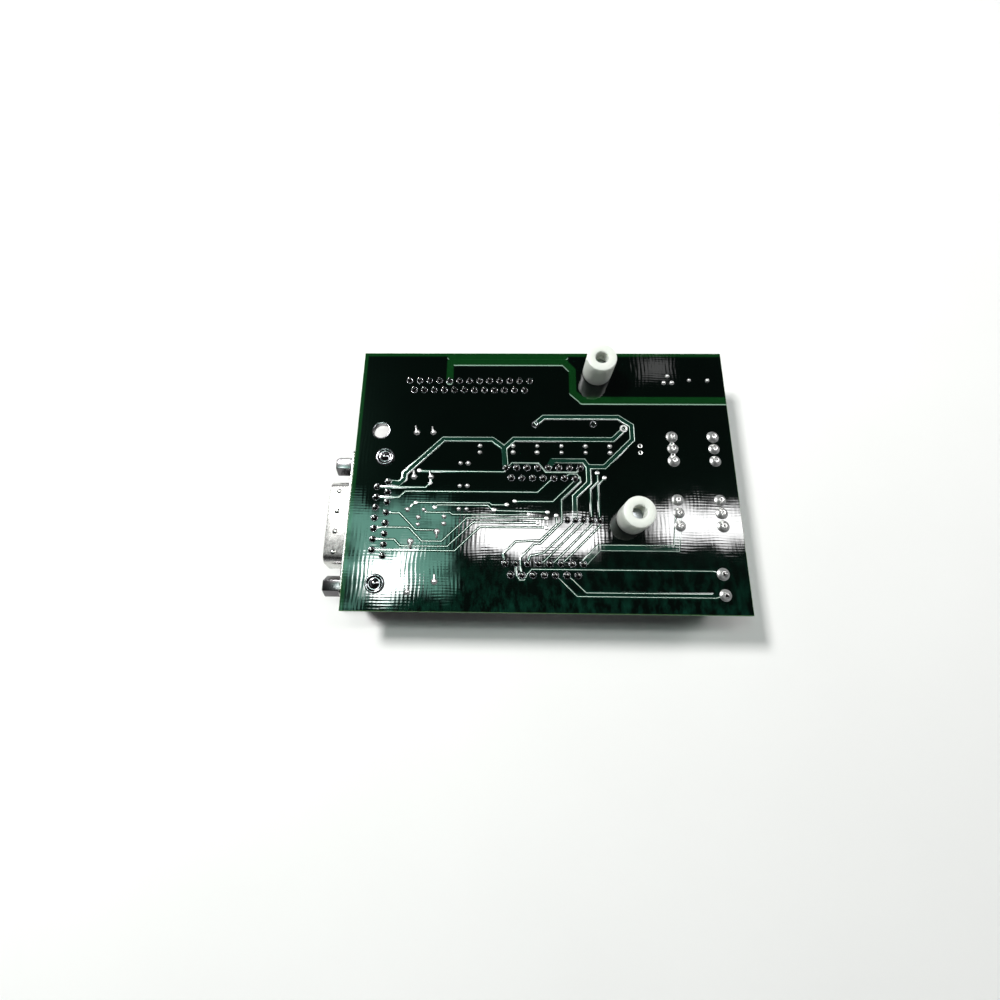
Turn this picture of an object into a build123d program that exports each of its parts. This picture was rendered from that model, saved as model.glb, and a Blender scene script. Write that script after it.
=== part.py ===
"""Power control board: a two-sided circuit board with D-shaped connectors, lying solder side up.

The board lies component side down, as it does on a bench: it stands on the edge of its side
connector's flange and on the rims of the three straight connectors. The origin is the middle of
the whole part's footprint on the table, +X runs along the board away from the side connector,
+Y to the far edge and +Z up, out of the solder side. All sizes are in millimetres.
"""

from build123d import *
import os

os.makedirs("parts", exist_ok=True)

# Board
board_length = 100.0
board_depth = 71.5
board_thickness = 1.6
copper_thickness = 0.07
mounting_hole_diameter = 4.3
small_hole_diameter = 1.0
terminal_hole_diameter = 1.5
hole_sides = 8

# Family of D-shaped connectors: two staggered rows of contacts in a pressed shell
contact_pitch = 2.77
row_spacing = 2.84
flange_height = 12.55
flange_corner = 1.6
flange_margin = 13.93
flange_hole_inset = 2.91
flange_hole_diameter = 3.1
sheet_thickness = 0.5
collar_margin = 5.27
collar_height = 7.9
collar_wall = 0.4
collar_reach = 6.0
collar_corner = 2.5
collar_side_angle = 80
insulator_setback = 0.2
insulator_play = 0.1
rear_block_height = 7.8
rear_skirt_wall = 0.4
side_rear_depth = 6.0
contact_square = 0.6
barrel_square = 0.85
socket_diameter = 1.4
side_socket_sides = 16
straight_socket_sides = 8
contact_recess = 1.2
pin_protrusion = 1.4
widest_count_15 = 8
widest_count_25 = 13

# Where the connectors sit on the board, measured from its edges
side_pin_inset = 9.65
side_first_pin_from_near = 33.0
straight_15_inset = 40.35
far_row_from_far_edge = 8.85
near_row_from_near_edge = 12.0
far_25_inset = 13.37

# Side connector's fixings
edge_gap = 0.1
bracket_thickness = 0.8
bracket_width = 6.6
bracket_foot = 12.4
bracket_bend = 1.2
bracket_hole_diameter = 3.0
lock_from_edge = 8.25
lock_diameter = 3.0
lock_hole_play = 0.15
lock_head_diameter = 4.9
lock_head_height = 1.0
lock_foot_height = 0.7
jackscrew_across_flats = 4.75
jackscrew_reach = 5.9
jackscrew_stud_diameter = 2.8
jackscrew_stud_length = 5.5
jackscrew_thread_diameter = 2.2
jackscrew_thread_depth = 4.2
jackscrew_chamfer = 0.35

# Nylon spacers on the solder side, each held by a screw from the component side
spacer_diameter = 7.9
spacer_height = 8.0
spacer_bore_diameter = 3.4
spacer_chamfer = 0.35
spacer_screw_diameter = 3.9
spacer_screw_play = 0.1
spacer_screw_engagement = 4.0
spacer_screw_tip_gap = 0.5
screw_head_diameter = 7.6
screw_head_height = 2.7
screw_head_edge = 0.5
screw_slot_width = 1.2
screw_slot_depth = 1.3

# Small parts on the component side
lead_diameter = 0.55
lead_protrusion = 0.4
square_pin_protrusion = 1.1
header_count = 5
header_pitch = 2.05
header_depth = 4.4
header_base_height = 3.2
header_pin_square = 0.5
header_pin_length = 8.6
ceramic_pitch = 1.85
ceramic_width = 3.6
ceramic_thickness = 2.3
ceramic_height = 4.4
ceramic_corner = 0.8
ceramic_crown = 0.7
can_pitch = 2.0
can_diameter = 5.0
can_height = 5.2
diode_pitch = 12.6
diode_diameter = 3.6
diode_length = 7.6
diode_lift = 0.4
diode_lead_bend = 1.0
film_pitch = 4.2
film_length = 6.4
film_thickness = 1.9
film_height = 5.4
relay_length = 15.4
relay_width = 12.0
relay_height = 10.6
relay_draft = 1
relay_edge = 0.5
relay_corner = 0.8
relay_pin_square = 0.6
relay_pitch_x = 10.8
relay_pitch_y = 3.4
reservoir_diameter = 10.0
reservoir_height = 11.0
reservoir_pitch = 5.0
transistor_diameter = 4.8
transistor_flat = 1.3
transistor_height = 4.8
terminal_ways = 2
terminal_pitch = 5.08
terminal_depth = 8.2
terminal_height = 10.0
terminal_pin_square = 0.9
terminal_entry_width = 3.2
terminal_screw_diameter = 3.4

# Heights above the table: the side connector's flange stands on its edge
stand_height = flange_height
board_top = stand_height + board_thickness
pin_tip = board_top + pin_protrusion
side_axis_z = stand_height - flange_height / 2
straight_face_z = collar_reach

# Board edges, with the whole part's footprint centred on the origin
front_reach = edge_gap + 2 * sheet_thickness + collar_reach
board_left = front_reach - (board_length + front_reach) / 2
board_right = board_left + board_length
board_near = -board_depth / 2
board_far = board_depth / 2
side_face_x = board_left - edge_gap - 2 * sheet_thickness


def from_side(x, y):
    """A point measured from the side connector's first pin."""
    return (board_left + side_pin_inset + x, board_near + side_first_pin_from_near + y)


def from_middle(x, y):
    """A point measured from the first pin of the middle straight connector."""
    return (board_left + straight_15_inset + x, row_spacing / 2 + y)


def from_low(x, y):
    """A point measured from the first pin of the near straight connector."""
    return (board_left + straight_15_inset + x, board_near + near_row_from_near_edge + y)


def from_top(x, y):
    """A point measured from the first pin of the far straight connector."""
    return (board_left + far_25_inset + x, board_far - far_row_from_far_edge + y)


def from_right(x, y):
    """A point measured from the right edge, at the board's middle line."""
    return (board_right + x, y)


def pin_rows(count):
    """Offsets along a connector and across it, for its wide row and its narrow row."""
    wide = [((n - (count - 1) / 2) * contact_pitch, -row_spacing / 2) for n in range(count)]
    narrow = [((n - (count - 2) / 2) * contact_pitch, row_spacing / 2) for n in range(count - 1)]
    return wide, narrow


def straight_center(first_pin, count):
    """The middle of a straight connector, from its first pin."""
    return (first_pin[0] + (count - 1) / 2 * contact_pitch, first_pin[1] - row_spacing / 2)


def straight_pins(center, count):
    """Board positions of a straight connector's pins, wide row first."""
    wide, narrow = pin_rows(count)
    return ([(center[0] + x, center[1] - y) for x, y in wide],
            [(center[0] + x, center[1] - y) for x, y in narrow])


# Connector places
side_wide = [from_side(0, -contact_pitch * n) for n in range(widest_count_15)]
side_narrow = [from_side(-row_spacing, -contact_pitch * (n + 0.5))
               for n in range(widest_count_15 - 1)]
side_center_y = side_wide[0][1] - (widest_count_15 - 1) / 2 * contact_pitch
far_center = straight_center(from_top(0, 0), widest_count_25)
middle_center = straight_center(from_middle(0, 0), widest_count_15)
near_center = straight_center(from_low(0, 0), widest_count_15)
far_wide, far_narrow = straight_pins(far_center, widest_count_25)
middle_wide, middle_narrow = straight_pins(middle_center, widest_count_15)
near_wide, near_narrow = straight_pins(near_center, widest_count_15)


def flange_length(count):
    """Length of a connector's flange, from the contacts in its wide row."""
    return (count - 1) * contact_pitch + flange_margin + 2 * flange_hole_inset


def hole_spacing(count):
    """Distance between the two holes of a connector's flange."""
    return flange_length(count) - 2 * flange_hole_inset


def collar_width(count):
    """Width of a connector's D-shaped collar on its wide side."""
    return (count - 1) * contact_pitch + collar_margin


side_fixing_y = [side_center_y + hole_spacing(widest_count_15) / 2,
                 side_center_y - hole_spacing(widest_count_15) / 2]
lock_places = [(board_left + lock_from_edge, y) for y in side_fixing_y]

# Places of everything else that goes through the board
empty_hole = from_side(-3.1, 14.6)
spacer_places = [(board_left + 65.3, board_far - 6.3), from_middle(32.0, -13.7)]
header_center = from_middle(19.75, -14.0)
header_pins = [(header_center[0] + (n - (header_count - 1) / 2) * header_pitch, header_center[1])
               for n in range(header_count)]
ceramic_places = [from_middle(x, 5.2) for x in (-7.0, 1.8, 8.2, 14.6, 21.0, 27.4)]
ceramic_places += [from_side(8.4, -10.4), from_side(15.0, -10.15)]
can_places = [from_side(19.7, y) for y in (5.3, -0.95, -7.2)]
diode_places = [from_side(6.6, 7.8), from_side(11.05, 7.8),
                from_side(6.75, -22.0), from_side(13.3, -19.4)]
film_place = from_side(7.6, -7.4)
relay_places = [from_right(-10.3, 7.0), from_right(-10.3, -10.5)]
reservoir_place = (board_right - 7.0, board_far - 8.5)
transistor_place = (board_right - 15.4, board_far - 8.3)
transistor_leads = [(-1.1, -1.0), (0.0, 1.1), (1.1, -1.0)]
terminal_center = (board_right - 6.3, board_near + 7.3)


def pair_along_y(place, pitch):
    """Two lead positions, one above the other on the board."""
    return [(place[0], place[1] + pitch / 2), (place[0], place[1] - pitch / 2)]


def pair_along_x(place, pitch):
    """Two lead positions side by side."""
    return [(place[0] - pitch / 2, place[1]), (place[0] + pitch / 2, place[1])]


ceramic_leads = [p for place in ceramic_places for p in pair_along_y(place, ceramic_pitch)]
can_leads = [p for place in can_places for p in pair_along_x(place, can_pitch)]
film_leads = pair_along_x(film_place, film_pitch)
reservoir_leads = pair_along_x(reservoir_place, reservoir_pitch)
diode_ends = [pair_along_y(place, diode_pitch) for place in diode_places]
driver_leads = [(transistor_place[0] + x, transistor_place[1] + y) for x, y in transistor_leads]
relay_pins = [(place[0] + side * relay_pitch_x / 2, place[1] + n * relay_pitch_y)
              for place in relay_places for side in (-1, 1) for n in (-1, 0, 1)]
terminal_pins = [(terminal_center[0], terminal_center[1] + (n - (terminal_ways - 1) / 2) * terminal_pitch)
                 for n in range(terminal_ways)]
upright_leads = ceramic_leads + can_leads + film_leads + reservoir_leads + driver_leads
connector_pins = (side_wide + side_narrow + far_wide + far_narrow + middle_wide + middle_narrow
                  + near_wide + near_narrow)
small_holes = (connector_pins + header_pins + upright_leads + [p for pair in diode_ends for p in pair]
               + relay_pins)


def circuit_board():
    """The laminate, drilled for every pin, lock, spacer screw and its one empty fixing hole.

    The many small holes have eight sides, which keeps the part light.
    """
    with BuildPart() as board:
        with BuildSketch(Plane.XY.offset(stand_height)):
            with Locations(((board_left + board_right) / 2, 0)):
                Rectangle(board_length, board_depth)
            with Locations(*small_holes):
                RegularPolygon(small_hole_diameter / 2, hole_sides, mode=Mode.SUBTRACT)
            with Locations(*terminal_pins):
                RegularPolygon(terminal_hole_diameter / 2, hole_sides, mode=Mode.SUBTRACT)
            with Locations(*lock_places):
                Circle(lock_diameter / 2 + lock_hole_play, mode=Mode.SUBTRACT)
            with Locations(empty_hole, *spacer_places):
                Circle(mounting_hole_diameter / 2, mode=Mode.SUBTRACT)
        extrude(amount=board_thickness)
    board.part.label = "circuit_board"
    export_step(board.part, "parts/circuit_board.step")


track_width = 0.4
band_width = 1.3
power_track_width = 1.6
pin_clearance = 0.15

# The routed tracks, each a list of points from one pin or through-hole to the next
signal_routes = [
    [from_side(7.9, 3.1), from_middle(-0.6, -1.2), from_middle(1.6, 1.3), from_middle(8.5, 1.3),
     from_middle(10.4, -1.2), from_middle(18.4, -1.2), middle_wide[7]],
    [side_narrow[0], from_side(9.8, -1.4), from_side(11.2, 0.0), diode_ends[1][1]],
    [side_narrow[1], from_side(3.0, -4.15), from_side(4.6, -2.5), from_middle(8.2, -6.7),
     from_middle(11.5, -3.5), middle_narrow[4]],
    [from_middle(2.3, -9.2), from_middle(12.1, -9.2), from_middle(17.6, -3.7), middle_narrow[6]],
    [film_leads[0], from_side(7.4, -5.5), from_side(26.6, -5.5), from_side(27.1, -6.0),
     from_side(31.0, -6.0)],
    [from_side(12.5, -6.8), from_side(13.2, -6.15), from_side(26.1, -6.15), from_side(27.5, -7.5),
     from_side(41.4, -7.8)],
    [film_leads[1], from_side(10.4, -8.1), from_side(16.5, -8.1), from_side(17.0, -8.6),
     from_side(36.7, -8.6)],
    [side_wide[3], from_side(3.5, -8.35), from_side(7.85, -12.7), from_side(12.6, -12.7),
     diode_ends[3][0]],
    [side_narrow[4], from_side(-1.5, -12.1), from_side(6.1, -12.1), from_side(9.6, -15.6),
     from_side(14.6, -15.6), from_side(20.8, -9.5), from_side(41.1, -9.5)],
    [side_narrow[5], from_side(2.6, -15.2), from_side(4.3, -16.9), from_side(16.1, -16.9),
     from_side(22.5, -10.6), from_side(38.9, -10.6)],
    [side_narrow[6], from_side(18.0, -18.0), from_side(24.2, -11.8), from_side(41.1, -11.8)],
    [from_side(43.6, -8.7), from_side(43.75, -11.0), from_low(8.8, 5.85), from_low(2.6, 5.5),
     from_low(-0.5, 2.4), near_wide[0]],
    [near_narrow[1], from_low(3.8, -1.6), from_low(3.8, 1.4), from_low(7.2, 4.95),
     from_low(8.75, 5.05), from_side(45.0, -10.4), from_side(45.0, -4.5), from_side(50.0, 0.5),
     from_side(50.0, 1.4), from_side(49.2, 2.5), from_side(47.1, 2.5), middle_narrow[5]],
    [near_wide[1], from_low(2.75, -1.3), from_low(2.85, -3.0), from_low(3.6, -4.1),
     from_low(4.7, -4.1), from_low(5.6, -2.5), from_low(6.6, -1.42),
     from_right(-8.8, near_center[1]), terminal_pins[1]],
    [near_wide[2], from_low(6.2, 1.9), from_low(9.6, 2.7), from_low(17.1, 10.0), header_pins[1]],
    [near_wide[3], from_low(9.6, 0.5), from_low(19.5, 10.4), header_pins[2]],
    [near_wide[4], from_low(12.3, 0.5), from_low(21.8, 10.0), header_pins[3]],
    [near_wide[5], from_low(15.0, 0.9), from_low(23.9, 9.7), header_pins[4]],
    [from_side(54.5, 2.8), from_side(54.5, 0.5), from_side(52.5, -1.5), header_pins[3]],
    [from_side(56.3, 1.4), from_side(54.5, -0.4), header_pins[4]],
    [near_narrow[4], from_low(13.4, -3.7), from_low(17.6, -7.9), from_low(51.0, -7.9),
     terminal_pins[0]],
    [near_narrow[5], from_low(16.5, -3.8), from_low(19.8, -7.0), from_low(50.4, -7.0)],
]
band_routes = [
    [side_wide[0], from_side(2.9, -0.3), from_side(4.1, 0.9), from_side(4.1, 2.4),
     from_side(13.9, 12.2), from_side(27.0, 12.2), from_middle(-0.5, 5.6), middle_wide[0]],
    [from_middle(-0.5, 5.6), from_middle(2.0, 8.1), from_middle(28.3, 8.1),
     from_middle(30.6, 10.3), from_middle(31.4, 11.3)],
    [from_middle(7.7, 12.5), from_middle(10.0, 14.6), from_middle(30.1, 14.6),
     from_middle(33.5, 12.2), from_middle(33.5, 8.1), from_middle(25.8, 0.4),
     from_middle(21.5, 0.4), from_middle(21.5, -4.0), from_middle(17.7, -7.8), header_pins[1]],
    [middle_wide[4], from_middle(12.3, 2.0), from_middle(20.4, 2.0), from_middle(21.5, 0.4)],
]
power_routes = [
    [near_wide[7], from_low(23.4, 4.1), from_right(-17.0, board_near + 16.1), relay_pins[7]],
]
track_widths = ((signal_routes, track_width), (band_routes, band_width),
                (power_routes, power_track_width))


def solder_side_tracks():
    """The etched copper tracks, cut clear of every pin that passes through them."""
    with BuildPart() as tracks:
        with BuildSketch(Plane.XY.offset(board_top)):
            for routes, width in track_widths:
                for points in routes:
                    with BuildLine() as route:
                        Polyline(*points)
                    trace(route.line, line_width=width)
            with Locations(*small_holes):
                RegularPolygon(small_hole_diameter / 2 + pin_clearance, hole_sides, mode=Mode.SUBTRACT)
            with Locations(*terminal_pins):
                RegularPolygon(terminal_hole_diameter / 2 + pin_clearance, hole_sides,
                               mode=Mode.SUBTRACT)
        extrude(amount=copper_thickness)
    tracks.part.label = "solder_side_tracks"
    export_step(tracks.part, "parts/solder_side_tracks.step")


def collar_outline(count, inset):
    """The D outline of a collar, drawn in the running sketch, inset by a wall or a clearance."""
    with BuildSketch(mode=Mode.PRIVATE) as outline:
        Trapezoid(collar_width(count), collar_height, collar_side_angle)
        fillet(outline.vertices(), collar_corner)
        if inset:
            offset(amount=-inset, mode=Mode.REPLACE)
    add(outline.sketch)


def front_shell(name, face, count):
    """The pressed front shell: a flange with two holes and a D-shaped collar drawn out of it."""
    with BuildPart() as shell:
        with BuildSketch(face):
            RectangleRounded(flange_length(count), flange_height, flange_corner)
        extrude(amount=-sheet_thickness)
        with BuildSketch(face):
            collar_outline(count, 0)
        extrude(amount=collar_reach)
        rim = shell.faces().sort_by(Axis(face.origin, face.z_dir))[-1]
        chamfer(rim.edges(), collar_wall * 0.6)
        with BuildSketch(face.offset(-sheet_thickness)):
            collar_outline(count, collar_wall)
        extrude(amount=sheet_thickness + collar_reach, mode=Mode.SUBTRACT)
        with BuildSketch(face):
            with Locations((-hole_spacing(count) / 2, 0), (hole_spacing(count) / 2, 0)):
                Circle(flange_hole_diameter / 2)
        extrude(amount=-sheet_thickness, mode=Mode.SUBTRACT)
    shell.part.label = f"{name}_front_shell"
    export_step(shell.part, f"parts/{name}_front_shell.step")


def rear_block_width(count):
    """Width of the moulded block behind a connector's flange."""
    return collar_width(count) + 0.2


def rear_shell(name, face, count, depth):
    """The pressed rear shell: a flange behind the front one and a skirt round the insulator."""
    back = face.offset(-sheet_thickness)
    inner = (rear_block_width(count) + 2 * insulator_play, rear_block_height + 2 * insulator_play)
    with BuildPart() as shell:
        with BuildSketch(back):
            RectangleRounded(flange_length(count), flange_height, flange_corner)
        extrude(amount=-sheet_thickness)
        with BuildSketch(back.offset(-sheet_thickness)):
            Rectangle(inner[0] + 2 * rear_skirt_wall, inner[1] + 2 * rear_skirt_wall)
        extrude(amount=-depth)
        with BuildSketch(back):
            Rectangle(*inner)
            with Locations((-hole_spacing(count) / 2, 0), (hole_spacing(count) / 2, 0)):
                Circle(flange_hole_diameter / 2)
        extrude(amount=-depth - sheet_thickness, mode=Mode.SUBTRACT)
    shell.part.label = f"{name}_rear_shell"
    export_step(shell.part, f"parts/{name}_rear_shell.step")


def insulator(name, face, count, depth, socket_sides):
    """The moulded insulator: a D-shaped nose full of sockets on a block behind the flange."""
    wide, narrow = pin_rows(count)
    with BuildPart() as moulding:
        with BuildSketch(face.offset(-sheet_thickness)):
            Rectangle(rear_block_width(count), rear_block_height)
        extrude(amount=sheet_thickness - depth)
        with BuildSketch(face.offset(-sheet_thickness)):
            collar_outline(count, collar_wall + insulator_play)
        extrude(amount=sheet_thickness + collar_reach - insulator_setback)
        with BuildSketch(face.offset(collar_reach)):
            with Locations(*wide, *narrow):
                RegularPolygon(socket_diameter / 2, socket_sides)
        extrude(amount=-collar_reach - depth, mode=Mode.SUBTRACT)
    moulding.part.label = f"{name}_insulator"
    export_step(moulding.part, f"parts/{name}_insulator.step")


def straight_contacts(name, face, count, depth):
    """Socket contacts with square tails that go straight up through the board."""
    wide, narrow = pin_rows(count)
    with BuildPart() as contacts:
        with BuildSketch(face.offset(-depth)):
            with Locations(*wide, *narrow):
                Rectangle(barrel_square, barrel_square)
        extrude(amount=depth + collar_reach - contact_recess)
        with BuildSketch(face.offset(-depth)):
            with Locations(*wide, *narrow):
                Rectangle(contact_square, contact_square)
        extrude(amount=straight_face_z + depth - pin_tip)
    contacts.part.label = f"{name}_contacts"
    export_step(contacts.part, f"parts/{name}_contacts.step")


def side_contacts(label, places, row_z):
    """One row of the side connector's contacts, whose tails turn up through the board."""
    barrel_length = collar_reach - contact_recess + side_rear_depth
    barrel_x = side_face_x - collar_reach + contact_recess
    with BuildPart() as contacts:
        for x, y in places:
            with BuildSketch(Plane.YZ.offset(barrel_x)):
                with Locations((y, row_z)):
                    Rectangle(barrel_square, barrel_square)
            extrude(amount=barrel_length)
            with BuildSketch(Plane.XZ.offset(-y)):
                with BuildLine():
                    tail = Polyline((barrel_x + barrel_length - 0.2, row_z), (x, row_z), (x, pin_tip))
                trace(tail, line_width=contact_square)
            extrude(amount=contact_square / 2, both=True)
    contacts.part.label = label
    export_step(contacts.part, f"parts/{label}.step")


def mounting_bracket(label, y):
    """An angle bracket behind the flange, whose foot lies under the board."""
    inner_x = side_face_x + 2 * sheet_thickness
    with BuildPart() as bracket:
        with BuildSketch(Plane.XZ.offset(-y)):
            with BuildLine() as angle:
                FilletPolyline((inner_x + bracket_thickness / 2, stand_height - flange_height + 2.2),
                               (inner_x + bracket_thickness / 2, stand_height - bracket_thickness / 2),
                               (inner_x + bracket_foot, stand_height - bracket_thickness / 2),
                               radius=bracket_bend)
            trace(angle.line, line_width=bracket_thickness)
        extrude(amount=bracket_width / 2, both=True)
        with BuildSketch(Plane.YZ.offset(inner_x)):
            with Locations((y, side_axis_z)):
                Circle(bracket_hole_diameter / 2)
        extrude(amount=2 * bracket_thickness, mode=Mode.SUBTRACT)
        with BuildSketch(Plane.XY.offset(stand_height)):
            with Locations((board_left + lock_from_edge, y)):
                Circle(lock_diameter / 2 + lock_hole_play)
        extrude(amount=-2 * bracket_thickness, mode=Mode.SUBTRACT)
    bracket.part.label = label
    export_step(bracket.part, f"parts/{label}.step")


def board_lock(label, y):
    """A rivet that clamps a bracket's foot to the board, with a domed head on the solder side."""
    place = (board_left + lock_from_edge, y)
    foot_z = stand_height - bracket_thickness
    with BuildPart() as lock:
        with BuildSketch(Plane.XY.offset(board_top)):
            with Locations(place):
                Circle(lock_head_diameter / 2)
        extrude(amount=lock_head_height)
        chamfer(lock.faces().sort_by(Axis.Z)[-1].edges(), lock_head_height * 0.6, lock_head_diameter * 0.28)
        with BuildSketch(Plane.XY.offset(foot_z)):
            with Locations(place):
                Circle(lock_diameter / 2)
        extrude(amount=board_top - foot_z)
        with BuildSketch(Plane.XY.offset(foot_z)):
            with Locations(place):
                Circle(lock_head_diameter / 2)
        extrude(amount=-lock_foot_height)
    lock.part.label = label
    export_step(lock.part, f"parts/{label}.step")


def jackscrew(label, y):
    """A hexagonal standoff screw: a tapped hexagon in front of the flange and a stud behind it."""
    seat = Plane((side_face_x, y, side_axis_z), x_dir=(0, -1, 0), z_dir=(-1, 0, 0))
    with BuildPart() as screw:
        with BuildSketch(seat):
            RegularPolygon(jackscrew_across_flats / 2, 6, major_radius=False)
        extrude(amount=jackscrew_reach)
        chamfer(screw.faces().sort_by(Axis.X)[0].edges(), jackscrew_chamfer)
        with BuildSketch(seat):
            Circle(jackscrew_stud_diameter / 2)
        extrude(amount=-jackscrew_stud_length)
        with BuildSketch(seat.offset(jackscrew_reach)):
            Circle(jackscrew_thread_diameter / 2)
        extrude(amount=-jackscrew_thread_depth, mode=Mode.SUBTRACT)
    screw.part.label = label
    export_step(screw.part, f"parts/{label}.step")


def nylon_spacer(label, place):
    """A round tapped spacer that stands on the solder side.

    Its bore has the thread's root size at the free end and the screw's full size round the screw.
    """
    with BuildPart() as spacer:
        with BuildSketch(Plane.XY.offset(board_top)):
            with Locations(place):
                Circle(spacer_diameter / 2)
        extrude(amount=spacer_height)
        chamfer(spacer.edges().filter_by(GeomType.CIRCLE), spacer_chamfer)
        with BuildSketch(Plane.XY.offset(board_top)):
            with Locations(place):
                Circle(spacer_bore_diameter / 2)
        extrude(amount=spacer_height, mode=Mode.SUBTRACT)
        with BuildSketch(Plane.XY.offset(board_top)):
            with Locations(place):
                Circle(spacer_screw_diameter / 2 + spacer_screw_play / 2)
        extrude(amount=spacer_screw_engagement + spacer_screw_tip_gap, mode=Mode.SUBTRACT)
    spacer.part.label = label
    export_step(spacer.part, f"parts/{label}.step")


def spacer_screw(label, place):
    """A slotted cheese-head screw that holds a spacer from the component side."""
    head_z = stand_height - screw_head_height
    with BuildPart() as screw:
        with BuildSketch(Plane.XY.offset(head_z)):
            with Locations(place):
                Circle(screw_head_diameter / 2)
        extrude(amount=screw_head_height)
        chamfer(screw.faces().sort_by(Axis.Z)[0].edges(), screw_head_edge)
        with BuildSketch(Plane.XY.offset(head_z)):
            with Locations(place):
                Rectangle(screw_head_diameter, screw_slot_width)
        extrude(amount=screw_slot_depth, mode=Mode.SUBTRACT)
        with BuildSketch(Plane.XY.offset(stand_height)):
            with Locations(place):
                Circle(spacer_screw_diameter / 2)
        extrude(amount=board_thickness + spacer_screw_engagement)
    screw.part.label = label
    export_step(screw.part, f"parts/{label}.step")


def five_way_header():
    """The five-way pin header: a moulded base on the board, and pins that go through both."""
    base_length = header_count * header_pitch + 1.6
    with BuildPart() as base:
        with BuildSketch(Plane.XY.offset(stand_height)):
            with Locations(header_center):
                Rectangle(base_length, header_depth)
        extrude(amount=-header_base_height)
        with BuildSketch(Plane.XY.offset(stand_height - header_base_height)):
            with Locations((header_center[0], header_center[1] - header_depth / 2 + 0.5)):
                Rectangle(base_length * 0.7, 1.0)
        extrude(amount=-4.2)
        with BuildSketch(Plane.XY.offset(stand_height)):
            with Locations(*header_pins):
                Rectangle(header_pin_square + 0.1, header_pin_square + 0.1)
        extrude(amount=-header_base_height, mode=Mode.SUBTRACT)
    base.part.label = "header_base"
    export_step(base.part, "parts/header_base.step")
    with BuildPart() as pins:
        with BuildSketch(Plane.XY.offset(stand_height - header_pin_length)):
            with Locations(*header_pins):
                Rectangle(header_pin_square, header_pin_square)
        extrude(amount=header_pin_length + board_thickness + square_pin_protrusion)
    pins.part.label = "header_pins"
    export_step(pins.part, "parts/header_pins.step")


def ceramic_capacitor(label, place):
    """A small dipped ceramic capacitor, rounded all over."""
    with BuildPart() as capacitor:
        with BuildSketch(Plane.XY.offset(stand_height)):
            with Locations(place):
                body = Rectangle(ceramic_thickness, ceramic_width)
            chamfer(body.vertices(), ceramic_corner)
        extrude(amount=-ceramic_height)
        chamfer(capacitor.faces().sort_by(Axis.Z)[0].edges(), ceramic_crown)
    capacitor.part.label = label
    export_step(capacitor.part, f"parts/{label}.step")


def can_outline(place, diameter, height, groove):
    """An upright capacitor can with a rolled groove near its foot, revolved on its own axis."""
    axis_plane = Plane((place[0], place[1], 0), x_dir=(1, 0, 0), z_dir=(0, -1, 0))
    radius = diameter / 2
    foot = stand_height
    with BuildPart(mode=Mode.PRIVATE) as can:
        with BuildSketch(axis_plane):
            with BuildLine():
                Polyline((0, foot), (radius, foot), (radius, foot - groove),
                         (radius - 0.3, foot - groove - 0.4), (radius, foot - groove - 0.8),
                         (radius, foot - height + 0.4), (radius - 0.4, foot - height),
                         (0, foot - height), close=True)
            make_face()
        revolve(axis=Axis(axis_plane.origin, (0, 0, 1)))
    return can.part


def electrolytic_capacitor(label, place, diameter, height, groove):
    """A sleeved electrolytic capacitor that stands on the component side."""
    with BuildPart() as capacitor:
        add(can_outline(place, diameter, height, groove))
    capacitor.part.label = label
    export_step(capacitor.part, f"parts/{label}.step")


def film_capacitor():
    """A flat box film capacitor with softened corners."""
    with BuildPart() as capacitor:
        with BuildSketch(Plane.XY.offset(stand_height)):
            with Locations(film_place):
                RectangleRounded(film_length, film_thickness, 0.3)
        extrude(amount=-film_height)
        chamfer(capacitor.faces().sort_by(Axis.Z)[0].edges(), 0.25)
    capacitor.part.label = "film_capacitor"
    export_step(capacitor.part, "parts/film_capacitor.step")


def power_diode(label, place):
    """The moulded body of an axial diode, lying just under the board."""
    axis_z = stand_height - diode_lift - diode_diameter / 2
    with BuildPart() as diode:
        with BuildSketch(Plane.XZ.offset(-place[1] - diode_length / 2)):
            with Locations((place[0], axis_z)):
                Circle(diode_diameter / 2)
        extrude(amount=diode_length)
        chamfer(diode.edges().filter_by(GeomType.CIRCLE), 0.35)
    diode.part.label = label
    export_step(diode.part, f"parts/{label}.step")


def diode_leads():
    """The diodes' axial leads, each bent up through its own hole."""
    axis_z = stand_height - diode_lift - diode_diameter / 2
    tip_z = board_top + lead_protrusion
    with BuildPart() as leads:
        for (x, y), ends in zip(diode_places, diode_ends):
            for end, side in zip(ends, (1, -1)):
                body_y = y + side * diode_length / 2
                with BuildLine() as path:
                    FilletPolyline((x, body_y, axis_z), (end[0], end[1], axis_z),
                                   (end[0], end[1], tip_z), radius=diode_lead_bend)
                with BuildSketch(Plane((x, body_y, axis_z), x_dir=(1, 0, 0), z_dir=(0, side, 0))):
                    RegularPolygon(lead_diameter / 2, 6)
                sweep(path=path.line)
    leads.part.label = "diode_leads"
    export_step(leads.part, "parts/diode_leads.step")


def component_leads():
    """The upright wire leads of the capacitors and the transistor."""
    with BuildPart() as leads:
        with BuildSketch(Plane.XY.offset(stand_height)):
            with Locations(*upright_leads):
                RegularPolygon(lead_diameter / 2, 6)
        extrude(amount=board_thickness + lead_protrusion)
    leads.part.label = "component_leads"
    export_step(leads.part, "parts/component_leads.step")


def relay(label, place):
    """A sealed relay: a cover with drafted sides and rounded edges."""
    with BuildPart() as cover:
        with BuildSketch(Plane.XY.offset(stand_height)):
            with Locations(place):
                outline = Rectangle(relay_length, relay_width)
            chamfer(outline.vertices(), relay_corner)
        extrude(amount=-relay_height, taper=relay_draft)
        chamfer(cover.faces().sort_by(Axis.Z)[0].edges(), relay_edge)
    cover.part.label = label
    export_step(cover.part, f"parts/{label}.step")


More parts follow.
